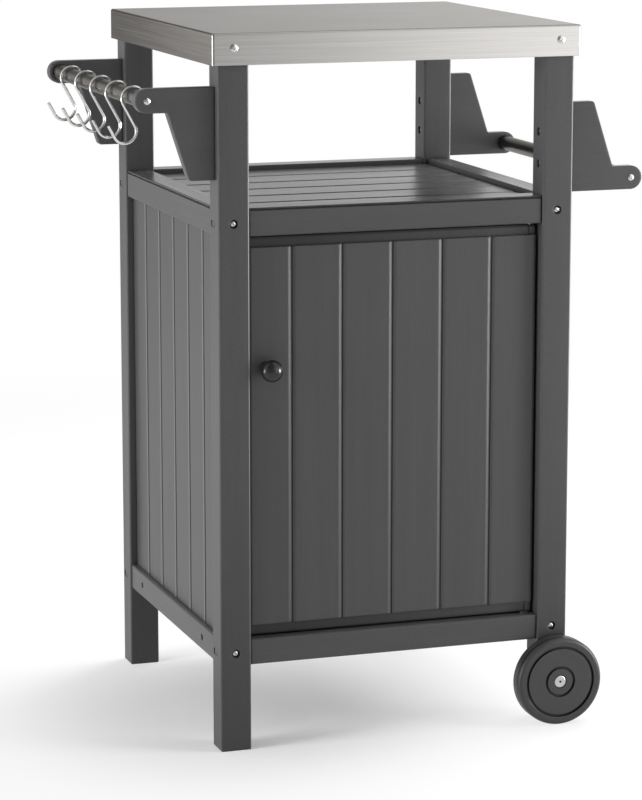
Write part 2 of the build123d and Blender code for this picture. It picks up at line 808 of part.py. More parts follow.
def make_catch_case():
    x_range = (catch_x() - catch_length / 2, catch_x() + catch_length / 2)
    front = door_back + strike_thickness + catch_clearance
    top = upper_rail_bottom - catch_clearance
    case = block(x_range, (front, front + catch_depth), (top - catch_height, top))
    case = fillet(long_edges(case, Axis.Z), rail_edge_radius)
    tab_y = (-front_rail_inner, -front_rail_inner + catch_tab_thickness)
    case += block(x_range, tab_y, (top - catch_height / 2, top + catch_tab_height))
    return case


def make_catch_strike():
    x_range = (catch_x() - catch_length / 2, catch_x() + catch_length / 2)
    z_high = door_top - strike_pad
    strike = block(x_range, (door_back, door_back + strike_thickness), (z_high - strike_height, z_high))
    return fillet(long_edges(strike, Axis.Y), strike_pad)


# Side brackets and bars

def make_bracket(side_x, side_y):
    """An arm with a slanted foot; the two sides carry it opposite ways up."""
    up = -1 if side_x < 0 else 1
    bar_height = left_bar_height if side_x < 0 else right_bar_height
    arm_low = -arm_height / 2
    foot_high = arm_low + bracket_height
    root = -bar_reach
    notch = root + bracket_notch_reach
    foot_outer = root + bracket_foot_width
    outline = closed_face(
        Polyline(
            (0, arm_low),
            (root, arm_low),
            (root, foot_high),
            (foot_outer, foot_high),
            (notch, -arm_low),
            (0, -arm_low),
        ),
        ThreePointArc((0, -arm_low), (-arm_low, 0), (0, arm_low)),
    )
    corner = outline.vertices().sort_by_distance((foot_outer, foot_high))[0]
    outline = fillet(corner, bracket_corner_radius)
    corner = outline.vertices().sort_by_distance((notch, -arm_low))[0]
    outline = fillet(corner, bracket_notch_radius)
    plate = extrude(outline, bracket_thickness / 2, both=True)
    plate = chamfer(plate.faces().sort_by(Axis.Z)[0].edges(), bracket_edge_chamfer)
    plate = chamfer(plate.faces().sort_by(Axis.Z)[-1].edges(), bracket_edge_chamfer)
    place = Plane(
        origin=(side_x * bar_x, side_y * post_centre_y, bar_height),
        x_dir=(side_x, 0, 0),
        z_dir=(0, -side_x * up, 0),
    )
    bracket = place * plate

    inner_face = side_y * bracket_inner_y
    seat_start = (side_x * bar_x, inner_face, bar_height)
    outward = (0, side_y, 0)
    bracket -= rod(bar_radius + bar_seat_clearance, seat_start, outward, bar_seat_depth)
    bracket -= rod(screw_radius + screw_hole_clearance, seat_start, outward, bracket_thickness)
    middle = left_bolt_height if side_x < 0 else right_bolt_height
    for height in bracket_bolt_heights(middle):
        hole_start = (side_x * post_outer_x, side_y * post_centre_y, height)
        hole_depth = bracket_bolt_grip + bracket_bolt_tip_gap
        bracket -= rod(bolt_radius + bolt_hole_clearance, hole_start, (side_x, 0, 0), hole_depth)
    return bracket


def make_bracket_bolts():
    bolts = []
    for side_x, middle in ((-1, left_bolt_height), (1, right_bolt_height)):
        for side_y in (-1, 1):
            for height in bracket_bolt_heights(middle):
                seat = (side_x * (post_inner_x + counterbore_depth), side_y * post_centre_y, height)
                length = post_width - counterbore_depth + bracket_bolt_grip
                bolts.append(bolt(seat, (side_x, 0, 0), length))
    return bolts


def make_bar(side_x, height):
    start = (side_x * bar_x, -bar_half_length, height)
    tube = rod(bar_radius, start, (0, 1, 0), 2 * bar_half_length)
    return tube - rod(bar_radius - bar_wall, start, (0, 1, 0), 2 * bar_half_length)


def bar_ends():
    ends = []
    for side_x, height in ((-1, left_bar_height), (1, right_bar_height)):
        for side_y in (-1, 1):
            ends.append((side_x * bar_x, side_y, height))
    return ends


def make_bar_plugs():
    plugs = []
    for x, side_y, height in bar_ends():
        start = (x, side_y * bar_half_length, height)
        inward = (0, -side_y, 0)
        plug = rod(bar_radius - bar_wall - bar_plug_clearance, start, inward, bar_plug_length)
        plugs.append(plug - rod(screw_radius + screw_hole_clearance, start, inward, bar_plug_length))
    return plugs


def make_bar_screws():
    screws = []
    for x, side_y, height in bar_ends():
        seat = (x, side_y * (post_centre_y + bracket_thickness / 2), height)
        screws.append(screw(seat, (0, -side_y, 0), bar_screw_length, bar_screw_head_radius))
    return screws


# Wheels: a ribbed hub and a tyre on a fixed axle

def make_wheel_hub(side_y):
    centre = (axle_x, side_y * wheel_inner_y, wheel_radius)
    face = wheel_width - hub_face_setback
    bore = axle_radius + axle_running_clearance
    rim_inner = tyre_seat_radius - hub_wall - tyre_bead_depth
    web_back = face - hub_web
    ring_inner = hub_boss_radius
    ring_outer = hub_boss_radius + hub_ring_width
    bead_low = wheel_width / 2 - tyre_bead_width / 2
    bead_high = wheel_width / 2 + tyre_bead_width / 2
    bead_radius = tyre_seat_radius - tyre_bead_depth
    profile = closed_face(
        Polyline(
            (bore, 0),
            (hub_boss_radius, 0),
            (hub_boss_radius, web_back),
            (rim_inner, web_back),
            (rim_inner, hub_face_setback),
            (tyre_seat_radius, hub_face_setback),
            (tyre_seat_radius, bead_low),
            (bead_radius, bead_low),
            (bead_radius, bead_high),
            (tyre_seat_radius, bead_high),
            (tyre_seat_radius, face - hub_step_depth),
            (tyre_seat_radius - hub_step_width, face - hub_step_depth),
            (tyre_seat_radius - hub_step_width, face),
            (ring_outer, face),
            (ring_outer, face - hub_ring_depth),
            (ring_inner, face - hub_ring_depth),
            (ring_inner, face),
            (cap_recess_radius, face),
            (cap_recess_radius, face - cap_recess_depth),
            (bore, face - cap_recess_depth),
            close=True,
        )
    )
    hub = turned(profile, centre, (0, side_y, 0))
    spoke_low = hub_boss_radius - hub_spoke_overlap
    spoke_high = rim_inner + hub_spoke_overlap
    across = (-hub_spoke / 2, hub_spoke / 2)
    depth = (side_y * (wheel_inner_y + hub_face_setback), side_y * (wheel_inner_y + web_back))
    spoke = block(across, depth, (spoke_low, spoke_high))
    axis = Pos(axle_x, 0, wheel_radius)
    for index in range(hub_spoke_count):
        hub += axis * Rot(0, 360 / hub_spoke_count * index, 0) * spoke
    return hub


def make_wheel_tyre(side_y):
    centre = (axle_x, side_y * wheel_inner_y, wheel_radius)
    inner = tyre_seat_radius + tyre_clearance
    bead_low = wheel_width / 2 - tyre_bead_width / 2 + tyre_clearance
    bead_high = wheel_width / 2 + tyre_bead_width / 2 - tyre_clearance
    bead_radius = tyre_seat_radius - tyre_bead_depth + tyre_clearance
    shoulder = wheel_radius - tyre_shoulder
    side_edge = wheel_width - tyre_shoulder
    line_low = wheel_width - tread_line_setback
    line_high = line_low + tread_line_width
    line_floor = wheel_radius - tread_line_depth
    profile = closed_face(
        Polyline(
            (shoulder, 0),
            (inner, 0),
            (inner, bead_low),
            (bead_radius, bead_low),
            (bead_radius, bead_high),
            (inner, bead_high),
            (inner, wheel_width - tyre_edge_chamfer),
            (inner + tyre_edge_chamfer, wheel_width),
            (shoulder, wheel_width),
        ),
        rounded((shoulder, wheel_width), (wheel_radius, wheel_width), (wheel_radius, side_edge)),
        Polyline(
            (wheel_radius, side_edge),
            (wheel_radius, line_high),
            (line_floor, line_high),
            (line_floor, line_low),
            (wheel_radius, line_low),
            (wheel_radius, tyre_shoulder),
        ),
        rounded((wheel_radius, tyre_shoulder), (wheel_radius, 0), (shoulder, 0)),
    )
    return turned(profile, centre, (0, side_y, 0))


def make_axle(side_y):
    """A short axle through one leg, with a flat round head on the leg's inner face."""
    length = cap_inner_y + axle_in_cap - post_inner_y
    edge = axle_head_edge - axle_head_height
    profile = closed_face(
        Polyline(
            (0, length),
            (axle_radius, length),
            (axle_radius, 0),
            (axle_head_radius, 0),
            (axle_head_radius, edge),
            (axle_head_radius - axle_head_edge, -axle_head_height),
            (0, -axle_head_height),
            close=True,
        )
    )
    return turned(profile, (axle_x, side_y * post_inner_y, wheel_radius), (0, side_y, 0))


def make_axle_washers():
    washers = []
    for side_y in (-1, 1):
        start = (axle_x, side_y * post_outer_y, wheel_radius)
        outward = (0, side_y, 0)
        ring = rod(washer_radius, start, outward, washer_thickness)
        washers.append(ring - rod(axle_radius + axle_hole_clearance, start, outward, washer_thickness))
    return washers


def make_axle_caps():
    caps = []
    bore = axle_radius + axle_running_clearance
    edge = (cap_radius, cap_thickness - cap_edge_radius)
    rim = (cap_radius - cap_edge_radius, cap_thickness)
    dimple_edge = (cap_dimple_radius, cap_thickness)
    dimple_floor = (0, cap_thickness - cap_dimple_depth)
    for side_y in (-1, 1):
        centre = (axle_x, side_y * cap_inner_y, wheel_radius)
        profile = closed_face(
            Polyline((0, axle_in_cap), (bore, axle_in_cap), (bore, 0), (cap_radius, 0), edge),
            rounded(edge, (cap_radius, cap_thickness), rim),
            Polyline(rim, dimple_edge, dimple_floor, (0, axle_in_cap)),
        )
        caps.append(turned(profile, centre, (0, side_y, 0)))
    return caps


# Hooks: bent wire that hangs over the left bar

def make_hook(y):
    """An S hook: a loop over the bar, a leaning stem and a bowl with a straight tip."""
    loop_x = 0
    loop_z = bar_radius + hook_clearance + hook_wire_radius - hook_loop_radius
    bowl_x = hook_bowl_offset
    bowl_z = -hook_bowl_drop
    distance = math.hypot(bowl_x - loop_x, bowl_z - loop_z)
    heading = math.atan2(bowl_z - loop_z, bowl_x - loop_x)
    heading += math.asin(2 * hook_loop_radius / distance)
    along = (math.cos(heading), math.sin(heading))
    across = (-along[1], along[0])

    def place(x, z, sideways, forwards):
        offset = [side * sideways + ahead * forwards for side, ahead in zip(across, along)]
        return (x + offset[0], z + offset[1])

    radius = hook_loop_radius
    loop_end = place(loop_x, loop_z, radius, 0)
    loop_top = place(loop_x, loop_z, 0, -radius)
    stem_top = place(loop_x, loop_z, -radius, 0)
    stem_foot = place(bowl_x, bowl_z, radius, 0)
    bowl_foot = place(bowl_x, bowl_z, 0, radius)
    bowl_end = place(bowl_x, bowl_z, -radius, 0)
    path = Wire(
        [
            Line(place(loop_x, loop_z, radius, hook_loop_tip), loop_end),
            ThreePointArc(loop_end, loop_top, stem_top),
            Line(stem_top, stem_foot),
            ThreePointArc(stem_foot, bowl_foot, bowl_end),
            Line(bowl_end, place(bowl_x, bowl_z, -radius, -hook_bowl_tip)),
        ]
    )
    section = Plane(origin=path @ 0, z_dir=path % 0) * Circle(hook_wire_radius)
    wire = sweep(section, path)
    standing = Plane(origin=(-bar_x, y, left_bar_height), x_dir=(1, 0, 0), z_dir=(0, -1, 0))
    return standing * wire


def hook_places():
    first = hook_row_centre + hook_spacing * (hook_count - 1) / 2
    return [first - hook_spacing * index for index in range(hook_count)]


def all_parts():
    parts = {
        "worktop_pan": make_worktop_pan(),
        "worktop_core": make_worktop_core(),
        "rim_screws": make_rim_screws(),
        "shelf_board": make_board(upper_rail, planked=True),
        "floor_board": make_board(lower_rail, planked=False),
        "left_panel": make_panel(-side_panel_face, along_x=False),
        "right_panel": make_panel(side_panel_face, along_x=False),
        "back_panel": make_panel(back_panel_face, along_x=True),
        "rail_bolts": make_rail_bolts(),
        "bracket_bolts": make_bracket_bolts(),
        "left_bar": make_bar(-1, left_bar_height),
        "right_bar": make_bar(1, right_bar_height),
        "bar_plugs": make_bar_plugs(),
        "bar_screws": make_bar_screws(),
        "door_panel": make_door_panel(),
        "door_top_pin": make_hinge_pin(door_top, -1),
        "door_bottom_pin": make_hinge_pin(door_bottom, 1),
        "door_washer": make_hinge_washer(),
        "door_knob": make_door_knob(),
        "knob_screw": make_knob_screw(),
        "catch_case": make_catch_case(),
        "catch_strike": make_catch_strike(),
        "axle_washers": make_axle_washers(),
        "axle_caps": make_axle_caps(),
    }
    for side_name, side_x in (("left", -1), ("right", 1)):
        foot = 0 if side_x < 0 else wheel_leg_height
        middle = left_bolt_height if side_x < 0 else right_bolt_height
        for end_name, side_y in (("front", -1), ("back", 1)):
            parts[f"{end_name}_{side_name}_post"] = make_post(side_x, side_y, foot, middle)
            parts[f"{end_name}_{side_name}_bracket"] = make_bracket(side_x, side_y)
    for level_name, level in (("upper", upper_rail), ("lower", lower_rail)):
        parts[f"front_{level_name}_rail"] = make_cross_rail(-1, level)
        parts[f"back_{level_name}_rail"] = make_cross_rail(1, level)
        parts[f"left_{level_name}_rail"] = make_side_rail(-1, level)
        parts[f"right_{level_name}_rail"] = make_side_rail(1, level)
    for end_name, side_y in (("front", -1), ("back", 1)):
        parts[f"{end_name}_axle"] = make_axle(side_y)
        parts[f"{end_name}_wheel_hub"] = make_wheel_hub(side_y)
        parts[f"{end_name}_wheel_tyre"] = make_wheel_tyre(side_y)
    for index, y in enumerate(hook_places()):
        parts[f"hook_{index + 1}"] = make_hook(y)
    return parts


os.makedirs("parts", exist_ok=True)
for name, shape in all_parts().items():
    solids = shape if isinstance(shape, list) else [shape]
    bodies = [solid for one in solids for solid in one.solids()]
    export_step(bodies[0] if len(bodies) == 1 else Compound(bodies), f"parts/{name}.step")
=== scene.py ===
import json
import math

import bmesh
import bpy
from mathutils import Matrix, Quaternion, Vector


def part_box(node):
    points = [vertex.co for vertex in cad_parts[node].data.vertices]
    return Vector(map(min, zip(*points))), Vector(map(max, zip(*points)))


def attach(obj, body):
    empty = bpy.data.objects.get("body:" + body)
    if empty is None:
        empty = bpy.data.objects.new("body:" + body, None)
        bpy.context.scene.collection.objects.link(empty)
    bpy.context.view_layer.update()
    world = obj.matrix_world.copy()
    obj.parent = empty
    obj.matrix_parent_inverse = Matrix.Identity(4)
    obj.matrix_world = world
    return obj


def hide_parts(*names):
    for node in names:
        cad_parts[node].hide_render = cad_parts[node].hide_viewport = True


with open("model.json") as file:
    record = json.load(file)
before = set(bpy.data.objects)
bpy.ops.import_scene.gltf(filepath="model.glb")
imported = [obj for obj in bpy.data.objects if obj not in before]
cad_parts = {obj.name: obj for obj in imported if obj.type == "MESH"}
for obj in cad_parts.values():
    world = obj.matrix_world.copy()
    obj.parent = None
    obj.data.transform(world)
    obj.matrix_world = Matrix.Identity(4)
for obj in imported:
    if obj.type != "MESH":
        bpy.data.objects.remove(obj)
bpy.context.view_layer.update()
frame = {"nodes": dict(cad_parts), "record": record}

bl_info = {
    "name": "Grill Cart",
    "version": (1, 0, 0),
    "blender": (4, 5, 0),
    "location": "3D View > Sidebar > Grill Cart",
    "description": "Finishes a jointed grill cart in resin and steel and sets a plain studio round it",
    "category": "Object",
}

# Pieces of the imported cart, the resin ones by the way their moulded wood grain runs
ENDS = ("front", "back")
SIDES = ("left", "right")
LEVELS = ("upper", "lower")
UPRIGHT_NODES = [f"{end}_{side}_post" for end in ENDS for side in SIDES]
CROSSWISE_NODES = [
    *(f"{end}_{level}_rail" for end in ENDS for level in LEVELS),
    *(f"{end}_{side}_bracket" for end in ENDS for side in SIDES),
    "worktop_core",
    "floor_board",
]
LENGTHWISE_NODES = [f"{side}_{level}_rail" for side in SIDES for level in LEVELS]
PLAIN_STEEL_NODES = (
    "door_top_pin",
    "door_bottom_pin",
    "catch_strike",
    "front_axle",
    "back_axle",
    "axle_washers",
)
BLACK_PLASTIC_NODES = ("bar_plugs", "door_washer", "catch_case")
HOOK_COUNT = 5

# Sizes of the planks and of the pieces modelled here
PLANK_PITCH = 0.0662
DOOR_PLANK_SHIFT = -0.0024
DOOR_BAND = 0.013
BRACKET_BOLT_SPACING = 0.0406
RAIL_BOLT_LENGTH = 0.024
BRACKET_BOLT_LENGTH = 0.0502
RIM_SCREW_LENGTH = 0.014
BAR_SCREW_LENGTH = 0.018
POINT_SHARE = 0.5
RECESS_TAPER = (0.45, 0.7, 1)
DRIVEN_TURN = math.radians(37)
KNOB_FLATNESS = 0.8
KNOB_SHOULDER = 0.8
KNOB_SHOULDER_RISE = 0.6
KNOB_FOOT = 0.059
KNOB_WAIST = 0.212
WIRE_END_BREAK = 0.2

# Facets of the pieces modelled here
HEAD_SIDES = 32
WIRE_SIDES = 20
KNOB_SIDES = 64
DOME_RINGS = 5
DOME_FIRST_RING = 0.4
KNOB_STEPS = 12
CROWN_STEPS = 8
BEND_STEPS = 24
STEM_STEPS = 4
TIP_STEPS = 2
FLAT_ENOUGH = 0.9
HEAD_SMOOTHING = math.radians(38)
ROUND_SMOOTHING = math.radians(50)

# Steel: share of its mirror strength that is left at a steep slant
WORKTOP_SLANT = (0.55, 0.53, 0.51, 1.0)
BAR_SLANT = (0.6, 0.58, 0.56, 1.0)
HOOK_SLANT = (0.22, 0.22, 0.22, 1.0)
FULL_SLANT = (1.0, 1.0, 1.0, 1.0)
# Brush strokes: noise scale along and across them, detail and roughness
BRUSH_FINE = (7, 2600, 2, 0.5)
BRUSH_BROAD = (4, 450, 3, 0.65)
STEEL_ROUND = 0.0008
# Radius of the painted shade in the axle caps' centre dimple
CAP_DIMPLE = 0.0019

# Painted shade as a black line in the plank grooves, and painted highlight as a pale line on the edge beside
# it, each by its shift as a share of the pitch and its half width
PLANK_LINES = {
    "door_panel": ((0.01, 0.0009), None),
    "left_panel": ((0.025, 0.0009), (0.06, 0.0012)),
    "right_panel": ((0.025, 0.0009), (0.06, 0.0012)),
    "back_panel": ((0.01, 0.0009), None),
    "shelf_board": ((0.0, 0.0023), None),
}
LINE_SOFTNESS = 0.3
GROOVE_FLOOR = 0.0035
GROOVE_DARKNESS = 0.95
DEPTH_SOFTNESS = 0.001
# How far the grain moves, and the tone differs, from plank to plank
GRAIN_JUMP = 5.0
PLANK_TONE = 0.1
# Painted shade that makes the side panels darker than the other resin pieces
SIDE_PANEL_SHADE = 0.87
# Reach of the painted shade in corners and in grooves, and its depth in both, by the kind of piece
CORNER_REACH = 0.012
GROOVE_REACH = 0.0035
RESIN_PAINTED_SHADES = (0.6, 0.9)
RAIL_PAINTED_SHADES = (0.3, 0.35)
DOOR_PAINTED_SHADES = (0.2, 0.2)
SHELF_PAINTED_SHADES = (0.25, 0.5)
HOLLOW_SHADE = 0.08
# Painted shadow on the door's sunk ends, at its left and right, and a painted dark line of shadow along its
# top
BAND_SHADOW = (0.75, 0.2)
BAND_SOFTNESS = 0.0005
DOOR_TOP_LINE = (-0.0042, -0.0028)
# Paleness of worn sharp edges, painted highlight on plank edges, and painted highlight on the posts' rounded
# right edges by height
RESIN_ROUND = 0.003
EDGE_RUB = 0.3
PLANK_HIGHLIGHT = 0.75
POST_HIGHLIGHT = (0.22, 0.95)
POST_HIGHLIGHT_HEIGHTS = (0.1, 0.85)
POST_HIGHLIGHT_COLOUR = (0.5, 0.5, 0.49)
# Painted shade that darkens the posts towards their feet, and the heights between which it fades
POST_FOOT_SHADE = 0.24
FOOT_SHADE_HEIGHTS = (0.05, 0.4)
# Painted shadow in the wells round the posts' bolts
WELL_RADIUS = 0.0054
WELL_SOFTNESS = 0.0002
WELL_DEPTH = 0.006
# Mirror strength, roughness and strength of the grain, on upright faces and on tops
SIDE_SHEEN = (0.28, 0.42, 0.22)
TOP_SHEEN = (0.74, 0.28, 0.06)
# Painted sheen: tops are made paler, towards the pale resin colour
TOP_PAINTED_SHEEN = 0.28
GRAIN_HEIGHT = 0.0004

# Wheels and small mouldings
WHEEL_MIRROR = 0.35
WHEEL_ROUND = 0.0008
WHEEL_HOLLOW_REACH = 0.008
WHEEL_HOLLOW_SHADE = 0.12
# Painted shade as a dark line round a tyre's tread groove, from its outer face
TREAD_LINE = (0.0056, 0.009)
TREAD_SOFTNESS = 0.0004
BLACK_PLASTIC_SHADES = ((0.022, 0.022, 0.023), (0.036, 0.036, 0.037))
# Painted shade in the centre dimple of the axle caps
CAP_DIMPLE_SHADE = (0.02, 0.02, 0.02)

# Studio
WHITE = (1, 1, 1, 1)
BLACK = (0, 0, 0)
LEFT_GLOW_WAY = (-0.98, -0.12, 0.15)
WALL_WAY = (0.6, 0.8, 0.0)
WALL_EDGE = (0.55, 0.85)
FLOOR_RADIUS = 30
FLOOR_FADE = (0.9, 2.6)
# Middle of the deep shadow, the reach of its fade, how far it runs in depth and how much is lost outside it
SHADOW_MIDDLE = (-0.19, -0.08)
SHADOW_FADE = (0.08, 0.36)
SHADOW_SQUASH = 0.8
SHADOW_LOSS = 0.68
SENSOR_HEIGHT = 36
CART_MIDDLE = (0, 0, 0.45)
# Softboxes: name, place, target, width and height, setting of their power, and the rays they are hidden from.
# Those that reflections show end below the worktop, so that it never mirrors them.
SOFTBOXES = (
    ("top_softbox", (1.7, 0.8, 2.8), CART_MIDDLE, (2.0, 2.0), "top_power", "glossy"),
    ("key_softbox", (2.25, -1.3, 1.4), CART_MIDDLE, (1.0, 1.8), "key_power", "glossy"),
    ("left_softbox", (-2.6, -0.5, 0.95), (0, 0, 0.72), (0.8, 1.4), "left_power", "glossy"),
    ("left_strip", (-2.6, -0.5, 0.42), (0, 0, 0.42), (0.8, 0.86), "left_strip_power", "diffuse"),
    ("edge_strip", (2.12, -1.13, 0.44), (0, 0, 0.4), (0.5, 0.88), "strip_power", "diffuse"),
)
CURTAIN_RADIUS = 3.0
CURTAIN_HEIGHT = 2.4
CEILING_START = 0.75
CEILING_DIM = 0.42
# Brightness of the curtain from the front (0), by the left (0.25), the back (0.5) and the right (0.75)
CURTAIN_STOPS = (
    (0.0, 0.2), (0.1, 0.1), (0.16, 0.35), (0.21, 0.8), (0.27, 0.65), (0.36, 0.35),
    (0.412, 0.6), (0.43, 0.66), (0.443, 0.12), (0.462, 0.06), (0.5, 0.22), (0.53, 0.32),
    (0.553, 0.4), (0.58, 0.5), (0.64, 0.6), (0.78, 0.6), (0.86, 1.0), (0.928, 1.0),
    (0.948, 0.68), (0.965, 0.4), (1.0, 0.2),
)

# Sockets of a Mix node for colours: the factor, both colours and the result
MIX_FACTOR, MIX_FIRST, MIX_SECOND, MIX_RESULT = 0, 6, 7, 2


# Sizes and colours that a user would change

def number(name, description, default, **kind):
    return bpy.props.FloatProperty(name=name, description=description, default=default, **kind)


def metres(name, description, default):
    return number(name, description, default, unit="LENGTH")


def watts(name, description, default):
    return number(name, description, default, unit="POWER")


def portion(name, description, default):
    return number(name, description, default, subtype="FACTOR")


def degrees(name, description, turn):
    return number(name, description, math.radians(turn), subtype="ANGLE")


def tint(name, description, default):
    return bpy.props.FloatVectorProperty(name=name, description=description, default=default, subtype="COLOR")


class GrillCartSizes(bpy.types.PropertyGroup):
    """Sizes of the small pieces that are modelled here."""

    bolt_head: metres("Bolt head", "Radius of a bolt's or small screw's head", 0.0042)
    bolt_height: metres("Bolt head height", "Height of a bolt's head", 0.0028)
    bolt_shank: metres("Bolt shank", "Radius of a bolt's shank", 0.0025)
    screw_head: metres("Screw head", "Radius of a rim screw's head", 0.005)
    screw_height: metres("Screw head height", "Height of a screw's head", 0.0024)
    screw_shank: metres("Screw shank", "Radius of a screw's shank", 0.002)
    head_edge_share: portion("Head edge", "Straight part of a head's height", 0.45)
    recess_width: portion("Recess width", "Width of a cross recess, as a share of the head", 0.3)
    recess_length: portion("Recess length", "Length of a cross recess, as a share of the head", 1.15)
    recess_depth: portion("Recess depth", "Depth of a cross recess, as a share of the head's height", 0.6)
    wire_radius: metres("Hook wire", "Radius of the bent wire", 0.002)
    loop_radius: metres("Hook bends", "Radius of both bends at the wire's middle", 0.0145)
    loop_drop: metres("Loop drop", "Upper bend's middle, below the bar's middle", 0.0022)
    bowl_offset: metres("Bowl offset", "Lower bend's middle, outward from the bar", 0.0113)
    bowl_drop: metres("Bowl drop", "Lower bend's middle, below the bar", 0.0425)
    bowl_tip: metres("Bowl tip", "Straight end after the lower bend", 0.017)
    loop_tip: metres("Loop tip", "Straight end before the upper bend", 0.009)
    knob_base: metres("Knob base", "Radius of the knob's foot", 0.0095)
    knob_waist: metres("Knob waist", "Radius of the knob's narrowest place", 0.0065)


class GrillCartColours(bpy.types.PropertyGroup):
    """Colours of the finishes."""

    resin: tint("Resin", "Dark grey moulded resin", (0.072, 0.072, 0.0735))
    # Pale resin for worn edges, and for the painted highlights on plank edges and the painted sheen on tops
    resin_wear_and_highlight: tint("Resin edge", "Resin where edges are rubbed", (0.2, 0.2, 0.2))
    worktop: tint("Worktop steel", "Brushed sheet", (0.37, 0.361, 0.35))
    bar: tint("Bar steel", "Brushed tube", (0.23, 0.223, 0.216))
    bright: tint("Bright steel", "Bolts, hooks and caps", (0.78, 0.78, 0.77))
    knob: tint("Knob", "Glossy black knob", (0.012, 0.012, 0.013))
    wheel: tint("Wheel", "Dark grey wheel", (0.042, 0.042, 0.043))
    floor: tint("Floor", "Pale studio floor", (0.9, 0.9, 0.9))


class GrillCartStudio(bpy.types.PropertyGroup):
    """Camera and lights."""

    camera_place: bpy.props.FloatVectorProperty(
        name="Camera",
        description="Where the camera stands",
        subtype="TRANSLATION",
        default=(-1.3313, -3.8715, 1.1827),
    )
    camera_turn: degrees("Turn", "Camera's turn from +Y towards +X", 18.673)
    camera_tilt: degrees("Tilt", "Camera's tilt below level", 10.903)
    lens: number("Lens", "Focal length on a 36 mm tall sensor, in millimetres", 141.63)
    sky: number("Sky", "Strength of the even light from all round", 0.1)
    left_glow: number("Left glow", "Strength of the soft light from the left", 0.9)
    wall: number("Wall", "Strength of the white wall behind and to the right", 0.6)
    top_power: watts("Top softbox", "Power of the softbox overhead", 80.0)
    key_power: watts("Key softbox", "Power of the softbox in front at the right", 32.0)
    left_power: watts("Left softbox", "Power of the softbox at the left", 45.0)
    left_strip_power: watts("Left strip", "Power of the strip that glosses left sides", 27.45)
    strip_power: watts("Edge strip", "Power of the strip that glosses right edges", 53.55)
    curtain_glow: number("Curtain", "Brightest part of the curtain that the steel mirrors", 2.35)
    floor_lift: number("Floor lift", "White added to the floor where it is seen", 0.18)


# Shader maths

class Shade:
    """A socket with arithmetic, which adds Math nodes to its finish."""

    def __init__(self, finish, socket):
        self.finish = finish
        self.socket = socket

    def math(self, operation, *values):
        inputs = dict(enumerate(values))
        return self.finish.node("ShaderNodeMath", {"operation": operation}, inputs)

    def __add__(self, other):
        return self.math("ADD", self, other)

    def __radd__(self, other):
        return self.math("ADD", other, self)

    def __sub__(self, other):
        return self.math("SUBTRACT", self, other)

    def __rsub__(self, other):
        return self.math("SUBTRACT", other, self)

    def __mul__(self, other):
        return self.math("MULTIPLY", self, other)

    def __rmul__(self, other):
        return self.math("MULTIPLY", other, self)

    def __truediv__(self, other):
        return self.math("DIVIDE", self, other)

    def __rtruediv__(self, other):
        return self.math("DIVIDE", other, self)

    def __pow__(self, other):
        return self.math("POWER", self, other)

    def __rpow__(self, other):
        return self.math("POWER", other, self)

    def floor(self):
        return self.math("FLOOR", self)

    def size(self):
        return self.math("ABSOLUTE", self)

    def root(self):
        return self.math("SQRT", self)

    def larger(self, other):
        return self.math("MAXIMUM", self, other)

    def swing(self, amount):
        """How far a noise is from its middle, by an amount."""
        return (self - 0.5) * amount

    def between(self, low, high):
        """0 at low, 1 at high and smooth between them."""
        settings = {"interpolation_type": "SMOOTHSTEP"}
        inputs = {"Value": self, "From Min": low, "From Max": high}
        return self.finish.node("ShaderNodeMapRange", settings, inputs)


